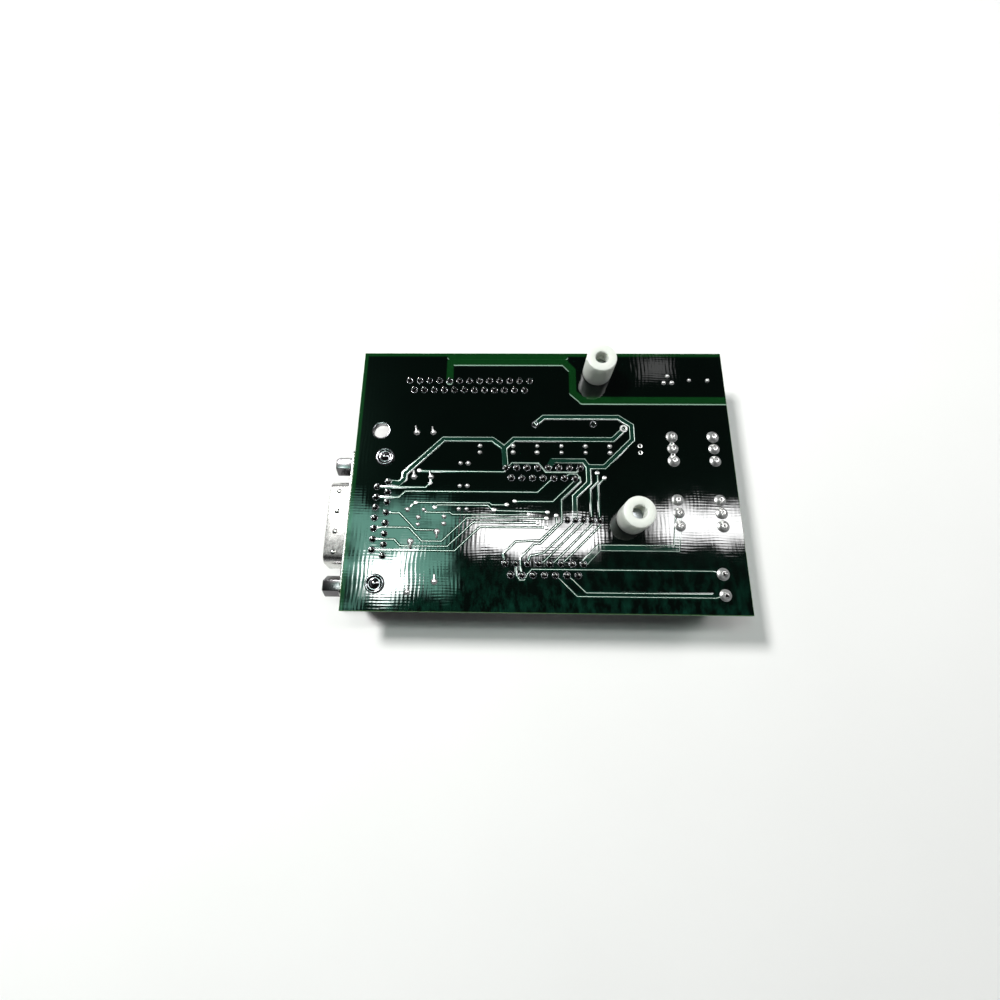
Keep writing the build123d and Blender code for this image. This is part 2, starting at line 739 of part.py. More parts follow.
def relay_pin_group():
    """The relays' square pins."""
    with BuildPart() as pins:
        with BuildSketch(Plane.XY.offset(stand_height)):
            with Locations(*relay_pins):
                Rectangle(relay_pin_square, relay_pin_square)
        extrude(amount=board_thickness + square_pin_protrusion)
    pins.part.label = "relay_pins"
    export_step(pins.part, "parts/relay_pins.step")


def driver_transistor():
    """A small moulded transistor with one flat side."""
    with BuildPart() as transistor:
        with BuildSketch(Plane.XY.offset(stand_height)):
            with Locations(transistor_place):
                Circle(transistor_diameter / 2)
            flat_y = transistor_place[1] - transistor_diameter / 2
            with Locations((transistor_place[0], flat_y)):
                Rectangle(transistor_diameter, 2 * (transistor_diameter / 2 - transistor_flat),
                          mode=Mode.SUBTRACT)
        extrude(amount=-transistor_height)
    transistor.part.label = "driver_transistor"
    export_step(transistor.part, "parts/driver_transistor.step")


def terminal_block():
    """A two-way screw terminal: its housing, clamp screws and board pins."""
    length = terminal_ways * terminal_pitch
    with BuildPart() as housing:
        with BuildSketch(Plane.XY.offset(stand_height)):
            with Locations(terminal_center):
                Rectangle(terminal_depth, length)
        extrude(amount=-terminal_height)
        chamfer(housing.faces().sort_by(Axis.Z)[0].edges().filter_by(Axis.Y), 1.2)
        with BuildSketch(Plane.YZ.offset(terminal_center[0] + terminal_depth / 2)):
            with Locations(*[(y, stand_height - 3.0) for _, y in terminal_pins]):
                Rectangle(terminal_entry_width, terminal_entry_width)
        extrude(amount=-3.0, mode=Mode.SUBTRACT)
        with BuildSketch(Plane.XY.offset(stand_height - terminal_height)):
            with Locations(*terminal_pins):
                Circle(terminal_screw_diameter / 2 + 0.15)
        extrude(amount=3.2, mode=Mode.SUBTRACT)
    housing.part.label = "terminal_block"
    export_step(housing.part, "parts/terminal_block.step")
    with BuildPart() as screws:
        with BuildSketch(Plane.XY.offset(stand_height - terminal_height + 0.6)):
            with Locations(*terminal_pins):
                Circle(terminal_screw_diameter / 2)
        extrude(amount=2.6)
        with BuildSketch(Plane.XY.offset(stand_height - terminal_height + 0.6)):
            with Locations(*terminal_pins):
                Rectangle(terminal_screw_diameter, 0.7)
        extrude(amount=0.8, mode=Mode.SUBTRACT)
    screws.part.label = "terminal_screws"
    export_step(screws.part, "parts/terminal_screws.step")
    with BuildPart() as pins:
        with BuildSketch(Plane.XY.offset(stand_height)):
            with Locations(*terminal_pins):
                Rectangle(terminal_pin_square, terminal_pin_square)
        extrude(amount=board_thickness + square_pin_protrusion)
    pins.part.label = "terminal_pins"
    export_step(pins.part, "parts/terminal_pins.step")


circuit_board()
solder_side_tracks()

side_face = Plane((side_face_x, side_center_y, side_axis_z), x_dir=(0, -1, 0), z_dir=(-1, 0, 0))
front_shell("side", side_face, widest_count_15)
rear_shell("side", side_face, widest_count_15, side_rear_depth - sheet_thickness - 1.0)
insulator("side", side_face, widest_count_15, side_rear_depth, side_socket_sides)
side_contacts("side_contacts_long", side_wide, side_axis_z - row_spacing / 2)
side_contacts("side_contacts_short", side_narrow, side_axis_z + row_spacing / 2)
for end, y in zip(("far", "near"), side_fixing_y):
    mounting_bracket(f"mounting_bracket_{end}", y)
    board_lock(f"board_lock_{end}", y)
    jackscrew(f"jackscrew_{end}", y)

straight_depth = stand_height - straight_face_z
straight_connectors = {
    "far": (far_center, widest_count_25),
    "middle": (middle_center, widest_count_15),
    "near": (near_center, widest_count_15),
}
for name, (center, count) in straight_connectors.items():
    face = Plane((center[0], center[1], straight_face_z), x_dir=(1, 0, 0), z_dir=(0, 0, -1))
    front_shell(name, face, count)
    rear_shell(name, face, count, straight_depth - 2 * sheet_thickness - 1.0)
    insulator(name, face, count, straight_depth, straight_socket_sides)
    straight_contacts(name, face, count, straight_depth)

for number, place in enumerate(spacer_places, 1):
    nylon_spacer(f"nylon_spacer_{number}", place)
    spacer_screw(f"spacer_screw_{number}", place)

five_way_header()
for number, place in enumerate(ceramic_places, 1):
    ceramic_capacitor(f"ceramic_capacitor_{number}", place)
for number, place in enumerate(can_places, 1):
    electrolytic_capacitor(f"electrolytic_{number}", place, can_diameter, can_height, 1.0)
electrolytic_capacitor("reservoir_capacitor", reservoir_place, reservoir_diameter,
                       reservoir_height, 1.8)
film_capacitor()
for number, place in enumerate(diode_places, 1):
    power_diode(f"power_diode_{number}", place)
diode_leads()
component_leads()
for number, place in enumerate(relay_places, 1):
    relay(f"relay_{number}", place)
relay_pin_group()
driver_transistor()
terminal_block()
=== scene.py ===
"""Looks of a power control board that lies solder side up on its connectors.

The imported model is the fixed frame, in metres: +X runs along the board away from its side
connector, +Y to the far long edge and +Z up, out of the solder side.
"""

from __future__ import annotations

import logging
import math
from dataclasses import dataclass
from enum import Enum
from functools import cache
from typing import Any, Callable, Iterable

import bmesh
import bpy
from mathutils import Matrix, Vector


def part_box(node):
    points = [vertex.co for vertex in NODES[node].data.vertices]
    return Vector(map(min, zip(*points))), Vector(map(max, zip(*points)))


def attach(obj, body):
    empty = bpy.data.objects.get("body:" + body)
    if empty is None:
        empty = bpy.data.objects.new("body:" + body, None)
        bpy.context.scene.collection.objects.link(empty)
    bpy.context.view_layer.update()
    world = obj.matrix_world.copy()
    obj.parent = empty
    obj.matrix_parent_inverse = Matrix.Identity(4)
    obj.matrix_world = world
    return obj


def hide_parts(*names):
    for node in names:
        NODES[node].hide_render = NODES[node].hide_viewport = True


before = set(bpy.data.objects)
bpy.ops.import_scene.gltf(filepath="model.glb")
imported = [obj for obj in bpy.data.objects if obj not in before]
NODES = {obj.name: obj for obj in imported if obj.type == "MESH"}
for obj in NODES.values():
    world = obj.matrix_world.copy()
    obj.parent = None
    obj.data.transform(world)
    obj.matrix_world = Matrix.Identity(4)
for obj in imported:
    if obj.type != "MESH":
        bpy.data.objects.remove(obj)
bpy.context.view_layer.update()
BOARD_LOW, BOARD_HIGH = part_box("circuit_board")
TOP = BOARD_HIGH.z
LOG = logging.getLogger("board")

MM = 0.001
MICRON = 1e-6
MERGE = 1e-6
NEAR = 1e-5
# Nearly all values of a noise texture lie between these two.
NOISE_LOW, NOISE_HIGH = 0.3, 0.7
COAT_ROUGHNESS = 0.06
TILT_SEEDS = (11, 12)
SIZE_SEED = 7

MATH, VECTOR, RANGE = "ShaderNodeMath", "ShaderNodeVectorMath", "ShaderNodeMapRange"
MIX, NOISE, SPLIT = "ShaderNodeMix", "ShaderNodeTexNoise", "ShaderNodeSeparateXYZ"
BUMP, SKIN, SURFACE = "ShaderNodeBump", "ShaderNodeBsdfPrincipled", "ShaderNodeOutputMaterial"
RANDOM = "FunctionNodeRandomValue"

Point = tuple[float, float]
Outline = tuple[tuple[float, ...], ...]
Sockets = dict[str | int, object]
Tree, Node, Mesh, Piece = bpy.types.NodeTree, bpy.types.Node, bpy.types.Mesh, bpy.types.Object
OpenMesh, Face, Corner = bmesh.types.BMesh, bmesh.types.BMFace, bmesh.types.BMVert

CONTACT_NODES = ("side_contacts_long", "side_contacts_short", "far_contacts", "middle_contacts",
                 "near_contacts")


class Slot(Enum):
    """The record's material slots."""

    LAMINATE = "laminate"
    COPPER = "masked_copper"
    SHELL = "tinned_shell"
    MOULDING = "connector_moulding"
    CONTACT = "plated_contact"
    BRACKET = "bracket_steel"
    LOCK = "tinned_lock"
    JACKSCREW = "nickel_screw"
    NYLON = "nylon"
    SCREW = "zinc_screw"
    HEADER = "header_nylon"
    WIRE = "tinned_wire"
    CERAMIC = "dipped_epoxy"
    CAN = "can_sleeve"
    FILM = "film_box"
    EPOXY = "moulded_epoxy"
    RELAY = "relay_cover"
    TERMINAL = "terminal_housing"


class Under(Enum):
    """What lies under the solder mask, and the painted highlight along the tracks' crowns."""

    PLANES = "planes"
    COPPER = "copper"
    PAINTED_HIGHLIGHT = "shoulder"


def add(tree: Tree, kind: str, inputs: Sockets | None = None, **settings: object) -> Node:
    """Adds a node with its settings and links.

    Args:
        tree: the tree that gets the node.
        kind: the node's type name.
        inputs: a value, a socket or another node for each input by name or number. A node stands
            for its first output in use.
        **settings: the node's own properties.

    Returns:
        The new node.
    """
    made = tree.nodes.new(kind)
    for key, value in settings.items():
        setattr(made, key, value)
    for key, value in (inputs or {}).items():
        if isinstance(value, Node):
            value = next(socket for socket in value.outputs if socket.enabled)
        if isinstance(value, bpy.types.NodeSocket):
            tree.links.new(value, made.inputs[key])
        else:
            made.inputs[key].default_value = value
    return made


def linear(code: str) -> tuple[float, float, float, float]:
    """Turns an sRGB hex colour to linear.

    Args:
        code: six hex digits after a hash sign.

    Returns:
        Red, green, blue and an opaque alpha.
    """
    parts = [int(code[n:n + 2], 16) / 255 for n in (1, 3, 5)]
    low = [p / 12.92 if p <= 0.04045 else ((p + 0.055) / 1.055) ** 2.4 for p in parts]
    return (low[0], low[1], low[2], 1.0)


def bare_tree(owner: Any) -> Tree:
    """Gives a material, lamp or world an empty node tree."""
    owner.use_nodes = True
    owner.node_tree.nodes.clear()
    return owner.node_tree


def place_in_mm(tree: Tree) -> Node:
    """Object coordinates in millimetres."""
    where = add(tree, "ShaderNodeTexCoord").outputs["Object"]
    return add(tree, VECTOR, {0: where, "Scale": 1 / MM}, operation="SCALE")


@dataclass(frozen=True)
class Finish:
    """A surface finish: two close colours in patches, a grain, and the gloss of the real thing.

    Sizes are in millimetres and the grain's height is in micrometres.
    """

    name: str
    colour: str
    second: str
    patch: float
    roughness: float
    spread: float = 0.1
    metallic: float = 0.0
    grain: float = 0.3
    grain_height: float = 1.0
    stretch: tuple[float, float, float] = (1.0, 1.0, 1.0)
    coat: float = 0.0
    ior: float | None = None
    subsurface: float = 0.0
    subsurface_depth: float = 0.0

    @cache
    def material(self) -> bpy.types.Material:
        """Builds the material, once."""
        made = bpy.data.materials.new(self.name)
        tree = bare_tree(made)
        at = place_in_mm(tree)
        drawn = add(tree, "ShaderNodeMapping", {"Vector": at, "Scale": self.stretch})
        patches = add(tree, NOISE, {"Vector": at, "Scale": 1 / self.patch, "Detail": 3.0})
        grain = add(tree, NOISE, {"Vector": drawn, "Scale": 1 / self.grain, "Detail": 2.0})
        colour = add(tree, MIX, {"Factor": patches, "A": linear(self.colour), "B": linear(self.second)},
                     data_type="RGBA")
        rough = add(tree, RANGE, {"Value": grain, "From Min": NOISE_LOW, "From Max": NOISE_HIGH,
                                  "To Min": self.roughness - self.spread / 2,
                                  "To Max": self.roughness + self.spread / 2})
        bump = add(tree, BUMP, {"Height": grain, "Strength": 1.0, "Distance": self.grain_height * MICRON})
        skin = add(tree, SKIN, {
            "Base Color": colour, "Roughness": rough, "Metallic": self.metallic, "Normal": bump,
            "Coat Weight": self.coat, "Coat Roughness": COAT_ROUGHNESS,
            "Subsurface Weight": self.subsurface, "Subsurface Scale": self.subsurface_depth * MM,
            "Subsurface Radius": (1.0, 1.0, 1.0)})
        if self.ior:
            skin.inputs["IOR"].default_value = self.ior
        add(tree, SURFACE, {"Surface": skin})
        return made


# Hot-dip tin on pressed steel: bright and slightly cloudy, with a faint rolled grain.
TINNED_STEEL = Finish("hot_tinned_pressed_steel", "#d2d1ce", "#bfbebb", 4.0, 0.26, 0.06, 1.0, 0.5, 0.3)
# Rolled and tin-plated bracket steel: a little duller than the shells.
BRACKET_STEEL = Finish("tin_plated_bracket_steel", "#d8d6d0", "#b9b8b4", 3.0, 0.33, 0.14, 1.0, 0.4, 2.0)
# Wave solder: bright, wet-looking, with slow ripples where it froze.
SOLDER = Finish("wave_soldered_tin_lead", "#8a8b8d", "#6c6d71", 0.8, 0.16, 0.06, 1.0, 0.6, 2.0)
# The same solder in the hollow of a joint and over the pin's end, darkened with painted shade.
SHADED_SOLDER = Finish("solder_with_painted_shade", "#3a3938", "#201f1f", 0.5, 0.24, 0.1, 1.0, 0.5, 2.0)
# Solder that froze over a cut wire or filled a through-hole: pale and satin.
PALE_SOLDER = Finish("satin_frozen_solder", "#f4f3f0", "#dcdcda", 0.8, 0.36, 0.1, 1.0, 0.5, 4.0)
# Dull nickel over turned steel: grey mirror with fine turning marks.
NICKEL = Finish("dull_nickel_on_turned_steel", "#6f6d6e", "#565457", 2.5, 0.2, 0.1, 1.0, 0.12, 1.0,
                (6.0, 1.0, 1.0))
# Clear-passivated zinc: pale, slightly blue and satin.
ZINC = Finish("clear_passivated_zinc", "#cfd4da", "#b8bcc0", 1.5, 0.36, 0.12, 1.0, 0.2, 2.0)
# Gold flash on phosphor bronze: warm yellow metal.
GOLD = Finish("gold_flash_on_bronze", "#e8c46a", "#cfa64a", 1.2, 0.22, 0.08, 1.0, 0.2, 0.8)
# Tinned copper wire, bright where it was cut.
TINNED_WIRE = Finish("tinned_copper_wire", "#8d8c8a", "#6e6d6b", 0.8, 0.14, 0.06, 1.0, 0.3, 1.0)
# Natural polyamide rod: milky, lets light into its skin, with faint turning rings.
NYLON = Finish("natural_polyamide", "#e4e7df", "#d8dcd2", 2.5, 0.42, 0.12, 0.0, 0.22, 5.0,
               (1.0, 1.0, 4.0), 0.0, 1.53, 0.7, 2.4)
# Moulded black polyester: fine spark-eroded grain.
BLACK_POLYESTER = Finish("moulded_black_polyester", "#17171a", "#1f1f22", 1.5, 0.46, 0.14, 0.0, 0.12, 4.0)
# Moulded natural header housing: ivory polyamide.
IVORY_POLYAMIDE = Finish("moulded_ivory_polyamide", "#ece6d2", "#e0d8c0", 2.0, 0.44, 0.1, 0.0, 0.18, 3.0,
                         ior=1.53)
# Dipped epoxy on a ceramic disc: glossy ochre with a wavy skin.
OCHRE_EPOXY = Finish("dipped_ochre_epoxy", "#c9812a", "#b06a1c", 1.6, 0.3, 0.1, 0.0, 0.7, 22.0, coat=0.6)
# Shrink sleeve: dark blue film, drawn tight.
BLUE_SLEEVE = Finish("dark_blue_shrink_sleeve", "#141c34", "#1a2440", 3.0, 0.28, 0.08, 0.0, 0.5, 4.0,
                     coat=0.5)
# The pale stripe printed on a shrink sleeve.
PALE_STRIPE = Finish("pale_stripe_on_sleeve", "#c9ced6", "#bcc2ca", 2.0, 0.32, 0.08, 0.0, 0.5, 3.0)
# Drawn aluminium can end: bright, with the marks of drawing.
ALUMINIUM = Finish("drawn_aluminium_can", "#dcdcdc", "#c6c6c8", 2.0, 0.3, 0.1, 1.0, 0.25, 1.6,
                   (1.0, 5.0, 1.0))
# Rubber bung under a can: dull black.
RUBBER = Finish("black_butyl_rubber", "#161616", "#1e1e1e", 1.0, 0.7, 0.1, 0.0, 0.2, 4.0)
# Moulded film capacitor box: dull red.
RED_BOX = Finish("moulded_red_film_box", "#8c2418", "#7a1e14", 2.0, 0.36, 0.1, 0.0, 0.15, 3.0)
# Transfer-moulded epoxy: dull black with flecks of filler.
BLACK_EPOXY = Finish("transfer_moulded_black_epoxy", "#131313", "#26262a", 0.35, 0.5, 0.16, 0.0, 0.1, 4.0)
# The cathode band of a diode: satin silver ink.
SILVER_BAND = Finish("printed_silver_band", "#b8babc", "#a8aaac", 0.8, 0.4, 0.1, 0.3, 0.12, 2.0)
# Relay cover: satin charcoal polyester.
RELAY_PLASTIC = Finish("moulded_charcoal_relay_cover", "#1b1c20", "#232429", 2.5, 0.38, 0.12, 0.0, 0.16,
                       4.0)
# Polyamide of a screw terminal: satin green.
TERMINAL_GREEN = Finish("moulded_green_polyamide", "#1d7a4a", "#186a40", 2.5, 0.4, 0.1, 0.0, 0.18, 4.0,
                        ior=1.53)
# Edge of routed woven glass-epoxy: pale green-yellow, dusty, with the cut layers drawn along it. On the
# board's rounded rims the paleness is partly bare laminate and partly a painted highlight line.
LAMINATE_EDGE = Finish("routed_glass_epoxy_edge", "#5f8a4e", "#2e5a34", 0.5, 0.6, 0.16, 0.0, 0.12, 14.0,
                       (0.25, 0.25, 4.0))
# Copper-plated, tinned wall of a drilled hole: dull grey metal.
PLATED_WALL = Finish("tinned_hole_wall", "#7d7a72", "#5d5a54", 0.6, 0.42, 0.1, 1.0, 0.2, 3.0)
# Painted shade: a nearly black disc where a small hole is.
HOLE_SHADE = Finish("painted_hole_shade", "#04110b", "#020805", 0.4, 0.2, 0.08, 0.0, 0.2, 3.0, coat=0.5)
# Table top: plain matt white board.
TABLE_WHITE = Finish("matt_white_table", "#f4f3f1", "#eeedeb", 60.0, 0.75, 0.1, 0.0, 0.6, 3.0)

# The two colours under the mask, and the gloss of what lies below its coat.
GROUNDS: dict[Under, tuple[str, str, Sockets]] = {
    Under.PLANES: ("#000302", "#010704", {"Roughness": 0.24, "Specular IOR Level": 0.015,
                                          "Specular Tint": linear("#5fc79f")}),
    Under.COPPER: ("#08231a", "#0f3629", {"Roughness": 0.3, "Specular IOR Level": 0.06,
                                          "Specular Tint": linear("#7ad0ac")}),
    # Painted highlight: pale and half metallic, on the crowns of wide tracks and the tops of thin ones.
    Under.PAINTED_HIGHLIGHT: ("#cfe0d4", "#e6f0e8", {"Roughness": 0.42, "Metallic": 0.5}),
}


@dataclass(frozen=True)
class SolderMask:
    """Glossy photoimaged solder mask on woven glass-epoxy, with copper planes inside the board.

    The eye gets a wet black-green surface whose mirror images are broken up by the ripple of the
    glass cloth. Where the inner planes are missing, light comes through and the board is bright
    green. Sizes are in millimetres and the ripple's heights are in micrometres.
    """

    under: Under
    warp_pitch: float = 1.0
    weft_pitch: float = 0.7
    warp_height: float = 1.5
    weft_height: float = 0.9
    wander: float = 14.0
    thread_grain: float = 1.3
    unevenness: float = 5.0
    flat_share: float = 0.1
    swell: float = 11.0
    swell_height: float = 22.0
    patch: float = 9.0
    thread_run: float = 9.0
    border: float = 1.05
    soft: float = 0.12
    painted_highlight_shift: float = 0.22
    painted_glow_depth: float = 17.0
    gloss_ior: float = 1.75
    gloss_roughness: float = 0.035
    splits: tuple[tuple[float, float, float, float, float], ...] = (
        (-22.0, 26.9, -22.0, 33.0, 0.95),
        (-22.0, 32.9, 10.0, 32.9, 0.95),
        (-22.0, 34.6, 10.0, 34.6, 0.95),
        (9.8, 32.9, 12.05, 30.4, 0.95),
        (12.05, 30.4, 12.05, 23.5, 0.95),
        (12.05, 23.5, 14.6, 21.1, 0.95),
        (14.6, 21.1, 60.0, 21.1, 1.05),
    )

    def _gap(self, tree: Tree, at: Node, shift: float, with_border: bool) -> Node:
        """How far inside a gap of the inner planes a place is.

        Args:
            tree: the material's tree.
            at: the place in millimetres.
            shift: how far down the board the gaps are moved.
            with_border: whether the strip along the left and far edges counts as a gap.

        Returns:
            A node that gives 1 inside a gap and 0 outside.
        """
        flat = add(tree, VECTOR, {0: at, 1: (1.0, 1.0, 0.0)}, operation="MULTIPLY")
        moved = add(tree, VECTOR, {0: flat, 1: (0.0, shift, 0.0)}, operation="ADD")
        low, high = BOARD_LOW / MM, BOARD_HIGH / MM
        place = add(tree, SPLIT, {0: moved}).outputs
        left = add(tree, MATH, {0: place["X"], 1: low.x + self.border}, operation="SUBTRACT")
        far = add(tree, MATH, {0: high.y - self.border, 1: place["Y"]}, operation="SUBTRACT")
        nearest = add(tree, MATH, {0: left, 1: far}, operation="MINIMUM")
        if not with_border:
            nearest = add(tree, MATH, {0: nearest, 1: 1.0}, operation="MAXIMUM")
        for x0, y0, x1, y1, half in self.splits:
            run = Vector((x1 - x0, y1 - y0, 0.0))
            reach = add(tree, VECTOR, {0: moved, 1: (x0, y0, 0.0)}, operation="SUBTRACT")
            along = add(tree, VECTOR, {0: reach, 1: run}, operation="DOT_PRODUCT")
            share = add(tree, MATH, {0: along, 1: 1 / run.length_squared}, operation="MULTIPLY",
                        use_clamp=True)
            foot = add(tree, VECTOR, {0: run, "Scale": share}, operation="SCALE")
            away = add(tree, VECTOR, {0: reach, 1: foot}, operation="DISTANCE")
            edge = add(tree, MATH, {0: away, 1: half}, operation="SUBTRACT")
            nearest = add(tree, MATH, {0: nearest, 1: edge}, operation="MINIMUM")
        return add(tree, RANGE, {"Value": nearest, "From Min": self.soft, "From Max": -self.soft})

    def _ripple(self, tree: Tree, at: Node) -> Node:
        """The height of the glass cloth's ripple through the mask, in micrometres."""
        slow = add(tree, NOISE, {"Vector": at, "Scale": 1 / self.swell, "Detail": 1.0})
        fade = add(tree, NOISE, {"Vector": at, "Scale": 1 / self.patch, "Detail": 3.0})
        fades = add(tree, SPLIT, {0: fade.outputs["Color"]}).outputs
        place = add(tree, SPLIT, {0: at}).outputs
        total = add(tree, MATH, {0: slow, 1: self.swell_height}, operation="MULTIPLY")
        thin = 1 / self.thread_run
        for axis, pitch, height, lay in (("X", self.warp_pitch, self.warp_height, (1.0, thin, thin)),
                                         ("Y", self.weft_pitch, self.weft_height, (thin, 1.0, thin))):
            turns = add(tree, MATH, {0: place[axis], 1: 2 * math.pi / pitch}, operation="MULTIPLY")
            bent = add(tree, MATH, {0: slow, 1: self.wander, 2: turns}, operation="MULTIPLY_ADD")
            wave = add(tree, MATH, {0: bent}, operation="SINE")
            along = add(tree, VECTOR, {0: at, 1: lay}, operation="MULTIPLY")
            thread = add(tree, NOISE, {"Vector": along, "Scale": self.thread_grain / pitch, "Detail": 2.0})
            uneven = add(tree, MATH, {0: thread, 1: self.unevenness, 2: wave}, operation="MULTIPLY_ADD")
            strength = add(tree, RANGE, {"Value": fades[axis], "From Min": 0.4, "From Max": 0.6,
                                         "To Min": self.flat_share * height, "To Max": height})
            total = add(tree, MATH, {0: uneven, 1: strength, 2: total}, operation="MULTIPLY_ADD")
        return total

    def _lit_from_below(self, tree: Tree, at: Node, ground: Node) -> Node:
        """Adds the bright gaps of the planes, a painted highlight along their lower edges and a painted glow
        in streaks near the board's near edge.

        Args:
            tree: the material's tree.
            at: the place in millimetres.
            ground: the colour over the planes.

        Returns:
            The node that gives the whole colour.
        """
        gap = self._gap(tree, at, 0.0, True)
        below = self._gap(tree, at, self.painted_highlight_shift, False)
        low = (BOARD_LOW / MM).y
        depth = add(tree, SPLIT, {0: at}).outputs["Y"]
        # Painted glow: brighter green streaks fading in from the board's near edge.
        near = add(tree, RANGE, {"Value": depth, "From Min": low + self.painted_glow_depth, "From Max": low})
        drawn = add(tree, VECTOR, {0: at, 1: (1.0, 0.45, 1.0)}, operation="MULTIPLY")
        streaks = add(tree, NOISE, {"Vector": drawn, "Scale": 0.55, "Detail": 5.0, "Roughness": 0.65})
        painted_glow_streaks = add(tree, RANGE, {"Value": streaks, "From Min": 0.44, "From Max": 0.84})
        glow = add(tree, MATH, {0: near, 1: painted_glow_streaks}, operation="MULTIPLY", use_clamp=True)
        fibres = add(tree, NOISE, {"Vector": at, "Scale": 1.6, "Detail": 3.0})
        clear = add(tree, MIX, {"Factor": fibres, "A": linear("#05280c"), "B": linear("#0a3b16")},
                    data_type="RGBA")
        # Painted highlight: a pale line along the lower edge of each gap.
        line = add(tree, MATH, {0: below, 1: gap}, operation="SUBTRACT", use_clamp=True)
        seen = ground
        for share, colour in ((glow, linear("#0c3a2c")), (gap, clear), (line, linear("#9dbba8"))):
            seen = add(tree, MIX, {"Factor": share, "A": seen, "B": colour}, data_type="RGBA")
        return seen

    @cache
    def material(self) -> bpy.types.Material:
        """Builds the material, once."""
        made = bpy.data.materials.new(f"green_solder_mask_over_{self.under.value}")
        tree = bare_tree(made)
        at = place_in_mm(tree)
        bump = add(tree, BUMP, {"Height": self._ripple(tree, at), "Strength": 1.0, "Distance": MICRON})
        cloud = add(tree, NOISE, {"Vector": at, "Scale": 0.12, "Detail": 4.0})
        dark, light, gloss = GROUNDS[self.under]
        base = add(tree, MIX, {"Factor": cloud, "A": linear(dark), "B": linear(light)}, data_type="RGBA")
        if self.under is Under.PLANES:
            base = self._lit_from_below(tree, at, base)
        skin = add(tree, SKIN, {
            "Base Color": base, "Normal": bump, "Coat Normal": bump, "Coat Weight": 1.0,
            "Coat Roughness": self.gloss_roughness, "Coat IOR": self.gloss_ior, **gloss})
        add(tree, SURFACE, {"Surface": skin})
        return made


MASK_OVER_PLANES = SolderMask(Under.PLANES)
MASK_OVER_COPPER = SolderMask(Under.COPPER)
PAINTED_HIGHLIGHT_MASK = SolderMask(Under.PAINTED_HIGHLIGHT)
Dress = Finish | SolderMask


def link(thing: Piece) -> Piece:
    """Puts an object in the scene."""
    bpy.context.scene.collection.objects.link(thing)
    return thing


def to_object(name: str, mesh: Mesh, dress: Iterable[Dress]) -> Piece:
    """Puts a mesh in the scene at the origin, with its finishes in order.

    Args:
        name: the piece's name.
        mesh: its mesh, in metres.
        dress: one finish for each material number of its faces.

    Returns:
        The new object.
    """
    for finish in dress:
        mesh.materials.append(finish.material())
    return link(bpy.data.objects.new(name, mesh))


def settle(piece: Piece, slot: Slot, *stands_for: str) -> Piece:
    """Ties a finished piece to the frame and reports it.

    Args:
        piece: the finished piece.
        slot: the record's slot that it takes its finish from.
        *stands_for: the CAD nodes that it is shown for.

    Returns:
        The piece.
    """
    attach(piece, "root")
    if stands_for:
        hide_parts(*stands_for)
    LOG.info("%s: %d faces, slot %s", piece.name, len(piece.data.polygons), slot.value)
    return piece


def box_of(node: str) -> tuple[Vector, Vector, Vector]:
    """The low corner, the high corner and the middle of a CAD node."""
    low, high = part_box(node)
    return low, high, (low + high) / 2


def merged_copy(node: str) -> OpenMesh:
    """A copy of a CAD node's mesh with its loose corners merged, which the caller frees."""
    made = bmesh.new()
    made.from_mesh(NODES[node].data)
    bmesh.ops.remove_doubles(made, verts=made.verts, dist=MERGE)
    return made


def closed_mesh(name: str, made: OpenMesh, smooth: bool = True) -> Mesh:
    """Writes an open mesh to a new mesh and frees it.

    Args:
        name: the new mesh's name.
        made: the open mesh.
        smooth: whether its faces are shaded smooth.

    Returns:
        The new mesh.
    """
    mesh = bpy.data.meshes.new(name)
    for face in made.faces:
        face.smooth = smooth
    made.to_mesh(mesh)
    made.free()
    return mesh


def take_in(made: OpenMesh, mesh: Mesh) -> None:
    """Moves a mesh into an open one."""
    made.from_mesh(mesh)
    bpy.data.meshes.remove(mesh)


def evaluated_mesh(piece: Piece) -> Piece:
    """Turns an object's modifiers into its plain mesh, and gives the same object back."""
    graph = bpy.context.evaluated_depsgraph_get()
    mesh = bpy.data.meshes.new_from_object(piece.evaluated_get(graph))
    piece.modifiers.clear()
    old = piece.data
    piece.data = mesh
    bpy.data.meshes.remove(old)
    return piece


def round_edges(piece: Piece, width: float, segments: int, degrees: float, harden: bool) -> Piece:
    """Rounds the sharp edges of a piece.

    Args:
        piece: the piece.
        width: the rounding's width in millimetres.
        segments: how many faces it has across.
        degrees: the least angle of a sharp edge.
        harden: whether the faces beside it stay flat to the light.

    Returns:
        The piece, with a plain mesh.
    """
    edge = piece.modifiers.new("rounded_edges", "BEVEL")
    edge.width = width * MM
    edge.segments = segments
    edge.limit_method = "ANGLE"
    edge.angle_limit = math.radians(degrees)
    edge.harden_normals = harden
    return evaluated_mesh(piece)


def softened(node: str, dress: Dress, width: float) -> Piece:
    """A copy of a CAD node with its sharp edges broken, as pressing or moulding leaves them.

    Args:
        node: the node's name.
        dress: its finish.
        width: the broken edge's width in millimetres.

    Returns:
        The new piece, not yet tied to the frame.
    """
    made = merged_copy(node)
    bmesh.ops.dissolve_limit(made, angle_limit=math.radians(0.5), use_dissolve_boundaries=False,
                             verts=made.verts, edges=made.edges)
    return round_edges(to_object(f"{node}_formed", closed_mesh(node, made), [dress]), width, 2, 38, True)


def formed(node: str, dress: Dress, width: float, slot: Slot) -> None:
    """Makes a softened copy of a CAD node and shows it for that node.

    Args:
        node: the node's name.
        dress: its finish.
        width: the broken edge's width in millimetres.
        slot: the record's slot.
    """
    settle(softened(node, dress, width), slot, node)


def grouped(items: Iterable[Any], beside: Callable[[Any], Iterable[Any]]) -> list[list[Any]]:
    """Gathers the items that hang together, in the same order each time.

    Args:
        items: the items, in a fixed order.
        beside: gives an item's neighbours.

    Returns:
        One list for each group.
    """
    left = dict.fromkeys(items)
    found = []
    while left:
        front = [left.popitem()[0]]
        group = []
        while front:
            group.append(front.pop())
            for other in beside(group[-1]):
                if other in left:
                    del left[other]
                    front.append(other)
        found.append(group)
    return found


